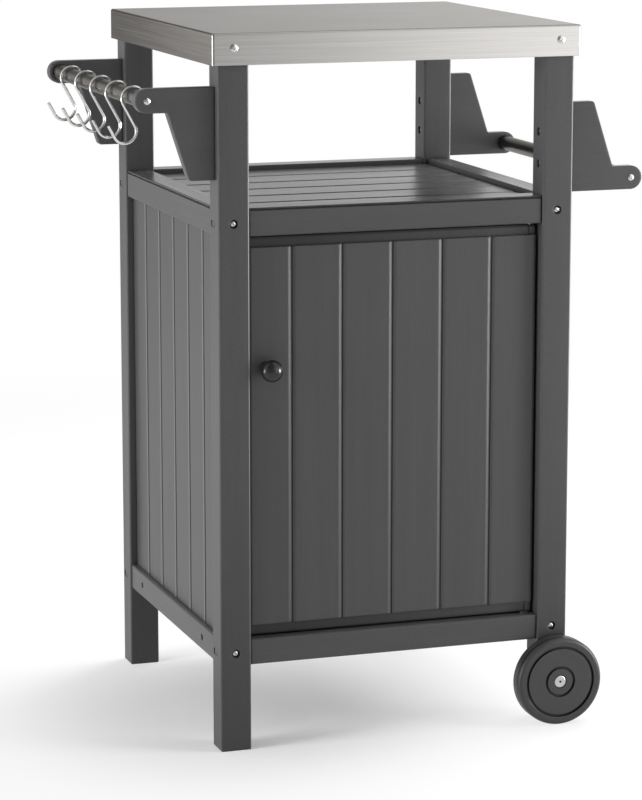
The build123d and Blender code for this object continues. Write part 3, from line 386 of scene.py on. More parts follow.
class Finish:
    """A node tree that is written as expressions and ends in one shader."""

    def __init__(self, name, tree=None):
        self.colours = bpy.context.scene.grill_cart_colours
        self.material = None
        if tree is None:
            self.material = bpy.data.materials.new(name)
            self.material.use_nodes = True
            tree = self.material.node_tree
        self.tree = tree
        self.tree.nodes.clear()

    def node(self, kind, settings=None, inputs=None, output=0):
        made = self.tree.nodes.new(kind)
        for key, value in (settings or {}).items():
            if key == "color_ramp":
                set_stops(made.color_ramp, value)
            else:
                setattr(made, key, value)
        for key, value in (inputs or {}).items():
            self.join(value, made.inputs[key])
        return Shade(self, made.outputs[output]) if made.outputs else None

    def join(self, value, socket):
        if isinstance(value, Shade):
            self.tree.links.new(value.socket, socket)
        else:
            socket.default_value = value

    def place(self):
        return self.node("ShaderNodeTexCoord", output="Object")

    def facing(self, kind):
        """The way a surface looks: Normal where it is smoothed, True Normal where it isn't."""
        return self.node("ShaderNodeNewGeometry", output=kind)

    def parts(self, vector):
        separate = self.node("ShaderNodeSeparateXYZ", inputs={"Vector": vector})
        return [Shade(self, socket) for socket in separate.socket.node.outputs]

    def vector(self, x, y, z):
        return self.node("ShaderNodeCombineXYZ", inputs={"X": x, "Y": y, "Z": z})

    def dot(self, first, second):
        return self.node("ShaderNodeVectorMath", {"operation": "DOT_PRODUCT"}, {0: first, 1: second}, "Value")

    def noise(self, vector, scale=1.0, detail=2.0, roughness=0.5):
        inputs = {"Vector": vector, "Scale": scale, "Detail": detail, "Roughness": roughness}
        return self.node("ShaderNodeTexNoise", inputs=inputs)

    def strokes(self, vector, axis, along, across, detail=2.0, roughness=0.5):
        """Noise that is drawn out along an axis, by its scales along and across it."""
        scale = [along if name == axis else across for name in "xyz"]
        stretched = self.node("ShaderNodeMapping", inputs={"Vector": vector, "Scale": scale})
        return self.noise(stretched, detail=detail, roughness=roughness)

    def blend(self, factor, first, second):
        """A colour between two colours."""
        inputs = {MIX_FACTOR: factor, MIX_FIRST: colour_value(first), MIX_SECOND: colour_value(second)}
        return self.node("ShaderNodeMix", {"data_type": "RGBA"}, inputs, MIX_RESULT)

    def recess(self, reach):
        """1 on open faces and lower in grooves, gaps and corners."""
        return self.node("ShaderNodeAmbientOcclusion", {"samples": 6}, {"Distance": reach}, "AO")

    def soft_edge(self, radius):
        """A normal that rounds sharp edges a little."""
        return self.node("ShaderNodeBevel", {"samples": 4}, {"Radius": radius})

    def edge_mask(self, rounded):
        """1 on sharp edges and 0 on flat faces."""
        return (1 - self.dot(rounded, self.facing("Normal"))).between(0.005, 0.16)

    def bump(self, height, strength, distance, normal=None):
        inputs = {"Height": height, "Strength": strength, "Distance": distance}
        if normal is not None:
            inputs["Normal"] = normal
        return self.node("ShaderNodeBump", inputs=inputs)

    def upward(self):
        """1 on faces that look up."""
        return self.parts(self.facing("True Normal"))[2].between(0.8, 0.95)

    def principled(self, **inputs):
        """A Principled shader. Names use _ for spaces."""
        named = {key.replace("_", " "): value for key, value in inputs.items()}
        named["Base Color"] = colour_value(named["Base Color"])
        return self.node("ShaderNodeBsdfPrincipled", inputs=named)

    def end(self, shader):
        """End the tree in a shader."""
        self.node("ShaderNodeOutputMaterial", inputs={"Surface": shader})
        return self.material

    def surface(self, **inputs):
        """End the tree in a Principled shader."""
        return self.end(self.principled(**inputs))


def set_stops(ramp, stops):
    """Give a ramp grey stops, as pairs of place and brightness."""
    while len(ramp.elements) < len(stops):
        ramp.elements.new(1.0)
    for element, (position, grey) in zip(ramp.elements, stops):
        element.position = position
        element.color = (grey, grey, grey, 1.0)


def colour_value(colour):
    if isinstance(colour, Shade):
        return colour
    return (*colour[:3], 1.0)


def scaled(colour, share):
    return [value * share for value in colour]


def shades(colour, low, high):
    """A darker and a lighter tone of a colour."""
    return scaled(colour, low), scaled(colour, high)


def distance(first, second):
    """How far a point is from a line, by its offsets along two axes."""
    return (first * first + second * second).root()


# Finishes

def resin_finish(name, grain, planks=None, band=None, painted_shades=RESIN_PAINTED_SHADES, post=False, shade=1.0):
    """Moulded resin with an embossed wood grain that breaks at each plank, painted shade in corners and
    grooves, and painted highlights. Tops are smoother than sides.
    """
    finish = Finish(name)
    place = finish.place()
    axes = dict(zip("xyz", finish.parts(place)))
    tone_shift = 0.0
    rounded = finish.soft_edge(RESIN_ROUND)
    edge = finish.edge_mask(rounded) * EDGE_RUB
    corners, grooves = painted_shades
    # Painted shade in corners and grooves, where the ambient occlusion finds them
    painted_shade = (1 - finish.recess(CORNER_REACH).between(0.2, 0.65)) * corners
    painted_shade = painted_shade.larger((1 - finish.recess(GROOVE_REACH).between(0.3, 0.7)) * grooves)
    if planks:
        across, middle, outside, (groove_shade_line, highlight_line) = planks
        offset = (axes[across] - middle) / PLANK_PITCH
        outer = plank_face(axes, *outside)
        # Painted shade as a dark line in each groove, and painted highlight as a pale line on the edge beside
        # it
        painted_shade = painted_shade.larger(groove_line(offset, *groove_shade_line) * outer * GROOVE_DARKNESS)
        if highlight_line:
            pale = groove_line(offset, *highlight_line) * outer
            edge = edge.larger(pale * PLANK_HIGHLIGHT)
            painted_shade = painted_shade * (1 - pale)
        place, tone_shift = plank_grain(finish, axes, grain, offset)
    if band:
        sunk, shadow = band_shadow(axes, *band)
        painted_shade = painted_shade * (1 - sunk) + shadow
    if post:
        # Painted shadow in the bolt wells
        painted_shade = painted_shade.larger(well_shadow(axes))
        # Painted shade, darker towards the posts' feet
        painted_shade = painted_shade.larger((1 - axes["z"].between(*FOOT_SHADE_HEIGHTS)) * POST_FOOT_SHADE)
    broad = finish.strokes(place, grain, 1.6, 42, detail=3, roughness=0.6)
    fine = finish.strokes(place, grain, 9, 620)
    mottle = finish.noise(place, scale=420)
    upward = finish.upward()
    tone = 0.5 + broad.swing(0.7) + fine.swing(0.45) + mottle.swing(0.6) + tone_shift
    base = finish.blend(tone, *shades(finish.colours.resin, 0.8 * shade, 1.2 * shade))
    # Worn edges, painted highlights on plank edges and painted sheen on tops, all towards the pale resin
    # colour
    base = finish.blend(edge.larger(upward * TOP_PAINTED_SHEEN), base, finish.colours.resin_wear_and_highlight)
    if post:
        # Painted highlight on the posts' rounded right edges
        base = finish.blend(post_edge_highlight(finish, axes["z"]), base, POST_HIGHLIGHT_COLOUR)
    # All painted shade darkens the colour here
    base = finish.blend(painted_shade, base, scaled(finish.colours.resin, HOLLOW_SHADE))
    relief = fine * 0.7 + broad * 0.5 + mottle * 0.3
    shaders = []
    for mirror, roughness, strength in (SIDE_SHEEN, TOP_SHEEN):
        normal = finish.bump(relief, strength, GRAIN_HEIGHT, rounded)
        rough = roughness + fine.swing(0.16) + broad.swing(0.1)
        shaders.append(
            finish.principled(Base_Color=base, Roughness=rough, Normal=normal, Specular_IOR_Level=mirror)
        )
    sides, tops = shaders
    smoother = upward * (1 - painted_shade)
    return finish.end(finish.node("ShaderNodeMixShader", inputs={0: smoother, 1: sides, 2: tops}))


def plank_grain(finish, axes, grain, offset):
    """Places whose grain starts anew on each plank, and each plank's own tone."""
    draw = finish.node("ShaderNodeTexWhiteNoise", {"noise_dimensions": "1D"}, {"W": offset.floor()}, "Value")
    moved = {**axes, grain: axes[grain] + draw * GRAIN_JUMP}
    return finish.vector(**moved), draw.swing(PLANK_TONE)


def plank_face(axes, axis, face, way):
    """1 on the outer side of a panel, down to the bottom of its grooves."""
    return 1 - ((face - axes[axis]) * way).between(GROOVE_FLOOR, GROOVE_FLOOR + DEPTH_SOFTNESS)


def groove_line(offset, shift, half):
    """1 on a line along each groove, beside its middle."""
    turned = offset - shift + 0.5
    beside = (turned - turned.floor() - 0.5).size() * PLANK_PITCH
    return 1 - beside.between(half * (1 - LINE_SOFTNESS), half * (1 + LINE_SOFTNESS))


def band_shadow(axes, low, high):
    """1 on the door's sunk ends, and the shadow there, deeper at its left."""
    left, right = BAND_SHADOW
    fade = left - axes["x"].between(low.x, high.x) * (left - right)
    below = (axes["z"] - low.z).between(DOOR_BAND + BAND_SOFTNESS, DOOR_BAND - BAND_SOFTNESS)
    above = (axes["z"] - high.z).between(-DOOR_BAND - BAND_SOFTNESS, BAND_SOFTNESS - DOOR_BAND)
    sunk = below.larger(above)
    # Painted shadow as a dark line along the door's top
    top_line = (axes["z"] - high.z).between(*DOOR_TOP_LINE)
    return sunk, (sunk * fade).larger(top_line)


def post_edge_highlight(finish, height):
    """Painted highlight on the rounded right edges of a post."""
    x, y, z = finish.parts(finish.facing("Normal"))
    corner = x.between(0.1, 0.3) * (1 - x.between(0.93, 0.99)) * (1 - z.size().between(0.3, 0.6))
    low, high = POST_HIGHLIGHT
    return corner * (low + height.between(*POST_HIGHLIGHT_HEIGHTS) * (high - low))


def well_shadow(axes):
    """1 in the round wells of the bolts in the posts' front and back faces."""
    low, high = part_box("rail_bolts")
    head = bpy.context.scene.grill_cart_sizes.bolt_head
    sideways = axes["x"].size() - (high.x - head)
    wells = []
    for level in (low.z + head, high.z - head):
        away = distance(sideways, axes["z"] - level)
        wells.append(1 - away.between(WELL_RADIUS - WELL_SOFTNESS, WELL_RADIUS + WELL_SOFTNESS))
    lower, upper = wells
    floor = high.y - WELL_DEPTH
    return lower.larger(upper) * axes["y"].size().between(floor - DEPTH_SOFTNESS, floor)


def worktop_finish():
    """Brushed stainless sheet: strokes along X on the top and long rims, along Y on the short rims."""
    finish = Finish("worktop_brushed_steel")
    place = finish.place()
    sideways = finish.parts(finish.facing("True Normal"))[0].size().between(0.6, 0.8)
    brushings = []
    for brush in (BRUSH_FINE, BRUSH_BROAD):
        along_x = finish.strokes(place, "x", *brush)
        along_y = finish.strokes(place, "y", *brush)
        brushings.append(along_x + (along_y - along_x) * sideways)
    fine, broad = brushings
    rounded = finish.soft_edge(STEEL_ROUND)
    cloud = finish.noise(place, scale=6, detail=3)
    tone = 0.5 + fine.swing(0.5) + broad.swing(0.8) + cloud.swing(0.2)
    base = finish.blend(tone, *shades(finish.colours.worktop, 0.8, 1.18))
    rough = 0.2 + broad.swing(0.12) + fine.swing(0.1) + cloud.swing(0.06)
    normal = finish.bump(fine * 0.6 + broad * 0.4, 0.12, 0.00015, rounded)
    return finish.surface(
        Base_Color=base, Metallic=1.0, Roughness=rough, Normal=normal, Specular_Tint=WORKTOP_SLANT
    )


def bar_finish():
    """Brushed steel tube with strokes along its length."""
    finish = Finish("bar_brushed_steel")
    place = finish.place()
    fine = finish.strokes(place, "y", 8, 2200)
    broad = finish.strokes(place, "y", 3, 240, detail=3)
    tone = 0.5 + fine.swing(0.6) + broad.swing(0.5)
    base = finish.blend(tone, *shades(finish.colours.bar, 0.8, 1.2))
    rough = 0.28 + broad.swing(0.1) + fine.swing(0.08)
    normal = finish.bump(fine * 0.6 + broad * 0.4, 0.12, 0.0001)
    return finish.surface(
        Base_Color=base, Metallic=1.0, Roughness=rough, Normal=normal, Specular_Tint=BAR_SLANT
    )


def bright_finish(name, roughness, share=1.0, slant=FULL_SLANT):
    """Bright steel with fine scratches, by its share of full brightness and what it mirrors at a slant."""
    finish = Finish(name)
    place = finish.place()
    scratch = finish.strokes(place, "y", 5000, 900)
    cloud = finish.noise(place, scale=120)
    base = finish.blend(scratch * 0.5 + cloud * 0.5, *shades(finish.colours.bright, share * 0.85, share))
    rough = roughness + cloud.swing(0.12) + scratch.swing(0.08)
    normal = finish.bump(scratch, 0.06, 0.00005)
    return finish.surface(Base_Color=base, Metallic=1.0, Roughness=rough, Normal=normal, Specular_Tint=slant)


def cap_finish(centre, dimple):
    """Bright turned cap with rings about the axle and painted shade in its centre dimple."""
    finish = Finish("turned_axle_cap")
    place = finish.place()
    x, y, z = finish.parts(place)
    radius = distance(x - centre.x, z - centre.z)
    rings = finish.noise(finish.vector(radius, 0.0, 0.0), scale=2600, detail=1)
    cloud = finish.noise(place, scale=160)
    base = finish.blend(rings * 0.7 + cloud * 0.3, *shades(finish.colours.bright, 0.42, 0.75))
    # Painted shade in the centre dimple
    base = finish.blend(1 - radius.between(dimple * 0.7, dimple), base, CAP_DIMPLE_SHADE)
    normal = finish.bump(rings, 0.1, 0.0001)
    return finish.surface(Base_Color=base, Metallic=1.0, Roughness=0.3 + cloud.swing(0.15), Normal=normal)


def knob_finish():
    """Glossy black moulding with faint handling marks."""
    finish = Finish("knob_gloss_black")
    place = finish.place()
    marks = finish.noise(place, scale=140, detail=3)
    dust = finish.noise(place, scale=1400, detail=1)
    base = finish.blend(marks * 0.4, *shades(finish.colours.knob, 1.0, 2.2))
    normal = finish.bump(dust, 0.04, 0.0001)
    rough = 0.16 + marks.swing(0.12)
    return finish.surface(Base_Color=base, Roughness=rough, Normal=normal, Specular_IOR_Level=0.4)


def black_plastic_finish():
    """Satin black moulding."""
    finish = Finish("satin_black_plastic")
    place = finish.place()
    grain = finish.noise(place, scale=900)
    cloud = finish.noise(place, scale=60)
    base = finish.blend(cloud, *BLACK_PLASTIC_SHADES)
    normal = finish.bump(grain, 0.15, 0.0002)
    return finish.surface(Base_Color=base, Roughness=0.42 + cloud.swing(0.12), Normal=normal)


def wheel_finish(name, centre, shade, roughness, tread=None):
    """Turned-looking moulding with faint rings about the axle, painted shade in its hollows, and painted
    shade as a dark line in the tread groove.
    """
    finish = Finish(name)
    place = finish.place()
    x, y, z = finish.parts(place)
    radius = distance(x - centre.x, z - centre.z)
    rings = finish.noise(finish.vector(radius, y * 0.02, 0.0), scale=900)
    scuff = finish.noise(place, scale=70, detail=4, roughness=0.65)
    rounded = finish.soft_edge(WHEEL_ROUND)
    colour = scaled(finish.colours.wheel, shade)
    base = finish.blend(0.5 + rings.swing(0.5) + scuff.swing(0.6), *shades(colour, 0.84, 1.16))
    base = finish.blend(finish.edge_mask(rounded) * 0.25, base, finish.colours.resin_wear_and_highlight)
    # Painted shade in hollows, and as a dark line in the tread groove
    painted_shade = (1 - finish.recess(WHEEL_HOLLOW_REACH).between(0.3, 0.75)) * 0.9
    if tread:
        face, way = tread
        depth = (face - y) * way
        start, end = TREAD_LINE
        line = depth.between(start, start + TREAD_SOFTNESS) * depth.between(end, end - TREAD_SOFTNESS)
        painted_shade = painted_shade.larger(line)
    base = finish.blend(painted_shade, base, scaled(colour, WHEEL_HOLLOW_SHADE))
    rough = roughness + scuff.swing(0.18)
    normal = finish.bump(rings * 0.5 + scuff * 0.2, 0.14, 0.0003, rounded)
    return finish.surface(Base_Color=base, Roughness=rough, Normal=normal, Specular_IOR_Level=WHEEL_MIRROR)


def dress(node, material):
    """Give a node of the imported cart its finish."""
    shown = frame["nodes"][node]
    if not shown.material_slots:
        shown.data.materials.append(material)
    for slot in shown.material_slots:
        slot.material = material


# Modelling helpers

def start_clean():
    if bpy.context.mode != "OBJECT":
        bpy.ops.object.mode_set(mode="OBJECT")
    bpy.ops.object.select_all(action="DESELECT")


def pick_faces(piece, wanted):
    """Select only the faces of a piece in edit mode that pass a test."""
    bpy.ops.mesh.select_mode(type="FACE")
    bpy.ops.mesh.select_all(action="DESELECT")
    shape = bmesh.from_edit_mesh(piece.data)
    for face in shape.faces:
        face.select = wanted(face)
    shape.select_flush_mode()
    bmesh.update_edit_mesh(piece.data)


def looks_up(face):
    return face.normal.z > FLAT_ENOUGH


def looks_down(face):
    return face.normal.z < -FLAT_ENOUGH


def make_active(piece):
    start_clean()
    piece.select_set(True)
    bpy.context.view_layer.objects.active = piece


def copy_of(piece):
    """A copy with its own mesh."""
    make_active(piece)
    bpy.ops.object.duplicate(linked=False)
    return bpy.context.object


def put_in_mesh():
    """Put the active piece's place into its mesh."""
    bpy.ops.object.transform_apply(location=True, rotation=True, scale=True)


def settle(piece, name, smooth_angle):
    """Put a finished piece's place into its mesh, smooth it and name it."""
    make_active(piece)
    put_in_mesh()
    bpy.ops.object.shade_smooth_by_angle(angle=smooth_angle)
    piece.name = name
    piece.data.name = name
    return piece


def finish_piece(piece, material, body, node):
    """Give a modelled piece its finish, hang it on the body it rides on and hide the imported node it
    replaces.
    """
    piece.data.materials.clear()
    piece.data.materials.append(material)
    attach(piece, body)
    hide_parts(node)


def arc(start, middle, end, steps):
    """Points from start to end on the circle through three points of a plane, without the first."""
    ax, ay = start
    bx, by = middle
    cx, cy = end
    turn = 2 * (ax * (by - cy) + bx * (cy - ay) + cx * (ay - by))
    a, b, c = (x * x + y * y for x, y in (start, middle, end))
    ox = (a * (by - cy) + b * (cy - ay) + c * (ay - by)) / turn
    oy = (a * (cx - bx) + b * (ax - cx) + c * (bx - ax)) / turn
    radius = math.hypot(ax - ox, ay - oy)
    first, via, last = (math.atan2(y - oy, x - ox) for x, y in (start, middle, end))
    sweep = (last - first) % math.tau
    if (via - first) % math.tau > sweep:
        sweep -= math.tau
    angles = [first + sweep * step / steps for step in range(1, steps + 1)]
    return [(ox + radius * math.cos(angle), oy + radius * math.sin(angle)) for angle in angles]


# Bolts and screws

def model_fastener(head, height, shank, length):
    """One pan head with its seat at z = 0, its shank below and a cross cut in its top."""
    sizes = bpy.context.scene.grill_cart_sizes
    edge = height * sizes.head_edge_share
    start_clean()
    middle = (0, 0, edge / 2)
    bpy.ops.mesh.primitive_cylinder_add(vertices=HEAD_SIDES, radius=head, depth=edge, location=middle)
    fastener = bpy.context.object
    bpy.ops.object.mode_set(mode="EDIT")
    pick_faces(fastener, looks_up)
    rise = height - edge
    ball = (head**2 + rise**2) / (2 * rise)
    half_angle = math.asin(head / ball)
    radius = head
    level = edge
    for step in range(DOME_RINGS, 0, -1):
        angle = half_angle * (step - DOME_FIRST_RING) / (DOME_RINGS + 1 - DOME_FIRST_RING)
        next_radius = ball * math.sin(angle)
        next_level = height - ball * (1 - math.cos(angle))
        bpy.ops.mesh.inset(thickness=radius - next_radius, depth=next_level - level)
        radius = next_radius
        level = next_level
    pick_faces(fastener, looks_down)
    point = shank * POINT_SHARE
    bpy.ops.mesh.inset(thickness=head - shank, depth=0)
    bpy.ops.mesh.extrude_region_move(TRANSFORM_OT_translate={"value": (0, 0, point - length)})
    bpy.ops.mesh.inset(thickness=point / 2, depth=point)
    bpy.ops.object.mode_set(mode="OBJECT")
    cut_cross(fastener, head, height)
    return fastener


def cut_cross(fastener, head, height):
    """Cut a tapered cross recess into the top of a head."""
    sizes = bpy.context.scene.grill_cart_sizes
    depth = height * sizes.recess_depth
    top = (0, 0, height)
    start_clean()
    arm = (head * sizes.recess_length, head * sizes.recess_width, 2 * depth)
    bpy.ops.mesh.primitive_cube_add(size=1, location=top, scale=arm)
    cutter = bpy.context.object
    bpy.ops.object.mode_set(mode="EDIT")
    pick_faces(cutter, looks_down)
    bpy.ops.transform.resize(value=RECESS_TAPER, center_override=top)
    bpy.ops.object.mode_set(mode="OBJECT")
    for angle in (0, math.pi / 2):
        cutter.rotation_euler.z = angle
        make_active(fastener)
        cut = fastener.modifiers.new("cross", "BOOLEAN")
        cut.operation = "DIFFERENCE"
        cut.solver = "EXACT"
        cut.object = cutter
        bpy.ops.object.modifier_apply(modifier=cut.name)
    make_active(cutter)
    bpy.ops.object.delete()


def set_out(fastener, name, places):
    """Copies of a fastener at their seats, heads facing outward, joined as one piece."""
    copies = []
    for index, (seat, outward) in enumerate(places):
        copy = copy_of(fastener)
        copy.location = seat
        driven = Quaternion((0, 0, 1), DRIVEN_TURN * index)
        copy.rotation_euler = (Vector(outward).to_track_quat("Z", "Y") @ driven).to_euler()
        copies.append(copy)
    make_active(fastener)
    bpy.ops.object.delete()
    start_clean()
    for copy in copies:
        copy.select_set(True)
    bpy.context.view_layer.objects.active = copies[0]
    if len(copies) > 1:
        bpy.ops.object.join()
    return settle(copies[0], name, HEAD_SMOOTHING)


def front_and_back(low, high, height, spots):
    """Seats of heads on the front and on the back, at each spot's x and z."""
    places = []
    for x, z in spots:
        places.append(((x, low.y + height, z), (0, -1, 0)))
        places.append(((x, high.y - height, z), (0, 1, 0)))
    return places


def rail_bolt_places(head, height):
    low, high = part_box("rail_bolts")
    levels = (low.z + head, high.z - head)
    spots = [(x, z) for x in (low.x + head, high.x - head) for z in levels]
    return front_and_back(low, high, height, spots)


def rim_screw_places(head, height):
    low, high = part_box("rim_screws")
    middle = (low.z + high.z) / 2
    return front_and_back(low, high, height, ((low.x + head, middle), (high.x - head, middle)))


def bar_screw_places(head, height):
    low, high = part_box("bar_screws")
    spots = ((low.x + head, high.z - head), (high.x - head, low.z + head))
    return front_and_back(low, high, height, spots)


def bracket_bolt_places(head):
    low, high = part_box("bracket_bolts")
    places = []
    seats = {"left": (low.x + BRACKET_BOLT_LENGTH, 1), "right": (high.x - BRACKET_BOLT_LENGTH, -1)}
    for side, (x, inward) in seats.items():
        bracket_low, bracket_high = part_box(f"front_{side}_bracket")
        middle = (bracket_low.z + bracket_high.z) / 2
        for y in (low.y + head, high.y - head):
            for step in (-0.5, 0.5):
                places.append(((x, y, middle + BRACKET_BOLT_SPACING * step), (inward, 0, 0)))
    return places


class BuildFasteners(bpy.types.Operator):
    """Model the bolts and screws, with a cross recess in each domed head"""

    bl_idname = "grill_cart.build_fasteners"
    bl_label = "Bolts and Screws"

    def execute(self, context):
        sizes = context.scene.grill_cart_sizes
        bolt = (sizes.bolt_head, sizes.bolt_height, sizes.bolt_shank)
        small_screw = (sizes.bolt_head, sizes.screw_height, sizes.screw_shank)
        rim_screw = (sizes.screw_head, sizes.screw_height, sizes.screw_shank)
        knob_low, knob_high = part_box("knob_screw")
        knob_middle = (knob_low + knob_high) / 2
        knob_seat = (knob_middle.x, knob_high.y - sizes.screw_height, knob_middle.z)
        knob_length = knob_seat[1] - knob_low.y
        sets = (
            ("rail_bolts", bolt, RAIL_BOLT_LENGTH, rail_bolt_places(*bolt[:2]), "cart"),
            ("bracket_bolts", bolt, BRACKET_BOLT_LENGTH, bracket_bolt_places(bolt[0]), "cart"),
            ("rim_screws", rim_screw, RIM_SCREW_LENGTH, rim_screw_places(*rim_screw[:2]), "cart"),
            ("bar_screws", small_screw, BAR_SCREW_LENGTH, bar_screw_places(*small_screw[:2]), "cart"),
            ("knob_screw", small_screw, knob_length, [(knob_seat, (0, 1, 0))], "door"),
        )
        steel = bright_finish("bright_fastener_steel", 0.22, 0.75, HOOK_SLANT)
        for node, size, length, places, body in sets:
            piece = set_out(model_fastener(*size, length), f"{node}_heads", places)
            finish_piece(piece, steel, body, node)
        return {"FINISHED"}


# Knob

def knob_rings(ball, reach):
    """The knob's rings, each by its radius and how far it stands out, from the foot to near the crown."""
    sizes = bpy.context.scene.grill_cart_sizes
    flat = ball * KNOB_FLATNESS
    centre = reach - flat
    shoulder = ball * KNOB_SHOULDER
    rise = flat * KNOB_SHOULDER_RISE
    foot = (sizes.knob_base, reach * KNOB_FOOT)
    waist = (sizes.knob_waist, reach * KNOB_WAIST)
    back = (shoulder, centre - rise)
    front = (shoulder, centre + rise)
    crown_ball = (shoulder**2 + (flat - rise) ** 2) / (2 * (flat - rise))
    crown_angle = math.asin(shoulder / crown_ball) / 2
    crown = (crown_ball * math.sin(crown_angle), reach - crown_ball * (1 - math.cos(crown_angle)))
    rings = [foot]
    rings += arc(foot, waist, back, KNOB_STEPS)
    rings += arc(back, (ball, centre), front, KNOB_STEPS)
    rings += arc(front, crown, (0, reach), CROWN_STEPS)[:-1]
    return rings


class BuildKnob(bpy.types.Operator):
    """Model the door's round knob on its waisted foot"""

    bl_idname = "grill_cart.build_knob"
    bl_label = "Door Knob"

    def execute(self, context):
        sizes = context.scene.grill_cart_sizes
        low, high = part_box("door_knob")
        middle = (low + high) / 2
        reach = high.y - low.y
        start_clean()
        bpy.ops.mesh.primitive_circle_add(
            vertices=KNOB_SIDES,
            radius=sizes.knob_base,
            fill_type="NGON",
            location=(middle.x, high.y, middle.z),
            rotation=(math.pi / 2, 0, 0),
        )
        knob = bpy.context.object
        put_in_mesh()
        bpy.ops.object.mode_set(mode="EDIT")
        bpy.ops.mesh.select_all(action="SELECT")
        radius, out = sizes.knob_base, 0.0
        for next_radius, next_out in knob_rings((high.x - low.x) / 2, reach):
            step = {"value": (0, out - next_out, 0)}
            bpy.ops.mesh.extrude_region_move(TRANSFORM_OT_translate=step)
            scale = next_radius / radius
            place = (middle.x, high.y - next_out, middle.z)
            bpy.ops.transform.resize(value=(scale, 1, scale), center_override=place)
            radius, out = next_radius, next_out
        bpy.ops.mesh.inset(thickness=radius / 2, depth=reach - out)
        bpy.ops.mesh.select_all(action="SELECT")
        bpy.ops.mesh.normals_make_consistent(inside=False)
        bpy.ops.object.mode_set(mode="OBJECT")
        settle(knob, "turned_knob", ROUND_SMOOTHING)
        finish_piece(knob, knob_finish(), "door", "door_knob")
        return {"FINISHED"}


# Hooks

def model_hook():
    """One S hook of bent wire, with the bar's middle at the origin and the wire in the plane y = 0."""
    sizes = bpy.context.scene.grill_cart_sizes
    loop = Vector((0, 0, -sizes.loop_drop))
    bowl = Vector((-sizes.bowl_offset, 0, -sizes.bowl_drop))
    gap = bowl - loop
    heading = math.atan2(gap.z, gap.x) + math.asin(2 * sizes.loop_radius / gap.length)
    along = Vector((math.cos(heading), 0, math.sin(heading)))
    across = Vector((-along.z, 0, along.x))
    loop_end = loop + across * sizes.loop_radius
    stem_top = loop - across * sizes.loop_radius
    stem_foot = bowl + across * sizes.loop_radius
    start = loop_end + along * sizes.loop_tip
    start_clean()
    turn = along.to_track_quat("Z", "Y").to_euler()
    bpy.ops.mesh.primitive_circle_add(
        vertices=WIRE_SIDES, radius=sizes.wire_radius, fill_type="NOTHING", location=start, rotation=turn
    )
    hook = bpy.context.object
    put_in_mesh()
    bpy.ops.object.mode_set(mode="EDIT")
    bpy.ops.mesh.select_mode(type="EDGE")
    bpy.ops.mesh.select_all(action="SELECT")
    run_wire(loop_end - start, 1)
    bend_wire(loop, 1)
    run_wire(stem_foot - stem_top, STEM_STEPS)
    bend_wire(bowl, -1)
    run_wire(along * -sizes.bowl_tip, TIP_STEPS)
    close_wire_ends(hook, sizes.wire_radius)
    bpy.ops.object.mode_set(mode="OBJECT")
    return hook


def run_wire(step, count):
    """Carry the open end of the wire straight on."""
    for index in range(count):
        bpy.ops.mesh.extrude_region_move(TRANSFORM_OT_translate={"value": step / count})


def bend_wire(centre, way):
    """Bend the open end of the wire by half a turn round a centre."""
    bpy.ops.mesh.spin(steps=BEND_STEPS, angle=math.pi * way, center=centre, axis=(0, 1, 0))


def close_wire_ends(hook, radius):
    """Fill both ends of the wire and break their edges."""
    bpy.ops.mesh.select_all(action="SELECT")
    bpy.ops.mesh.remove_doubles(threshold=radius * 0.01)
    bpy.ops.mesh.select_all(action="DESELECT")
    bpy.ops.mesh.select_non_manifold()
    bpy.ops.mesh.edge_face_add()
    bpy.ops.mesh.select_all(action="SELECT")
    bpy.ops.mesh.fill_holes(sides=WIRE_SIDES)
    bpy.ops.mesh.normals_make_consistent(inside=False)
    pick_faces(hook, lambda face: len(face.verts) > 4)
    bpy.ops.mesh.inset(thickness=radius * WIRE_END_BREAK, depth=0, use_individual=True)


class BuildHooks(bpy.types.Operator):
    """Bend the S hooks from wire and hang them on the left bar"""

    bl_idname = "grill_cart.build_hooks"
    bl_label = "S Hooks"

    def execute(self, context):
        polished = bright_finish("polished_wire", 0.12, 0.9, HOOK_SLANT)
        pattern = model_hook()
        hangers = {joint["child"]: joint["pos_m"] for joint in frame["record"]["behaviour"]["joints"]}
        for index in range(HOOK_COUNT):
            node = f"hook_{index + 1}"
            hook = copy_of(pattern)
            hook.location = hangers[f"{node}_body"]
            settle(hook, f"{node}_wire", ROUND_SMOOTHING)
            finish_piece(hook, polished, f"{node}_body", node)
        make_active(pattern)
        bpy.ops.object.delete()
        return {"FINISHED"}


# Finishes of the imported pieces

class DressFrame(bpy.types.Operator):
    """Finish the posts, rails, brackets and boards in grained resin"""

    bl_idname = "grill_cart.dress_frame"
    bl_label = "Posts and Rails"

    def execute(self, context):
        upright = resin_finish("resin_grain_upright", "z", post=True)
        crosswise = resin_finish("resin_grain_crosswise", "x", painted_shades=RAIL_PAINTED_SHADES)
        lengthwise = resin_finish("resin_grain_lengthwise", "y")
        for nodes, material in (
            (UPRIGHT_NODES, upright),
            (CROSSWISE_NODES, crosswise),
            (LENGTHWISE_NODES, lengthwise),
        ):
            for node in nodes:
                dress(node, material)
        return {"FINISHED"}


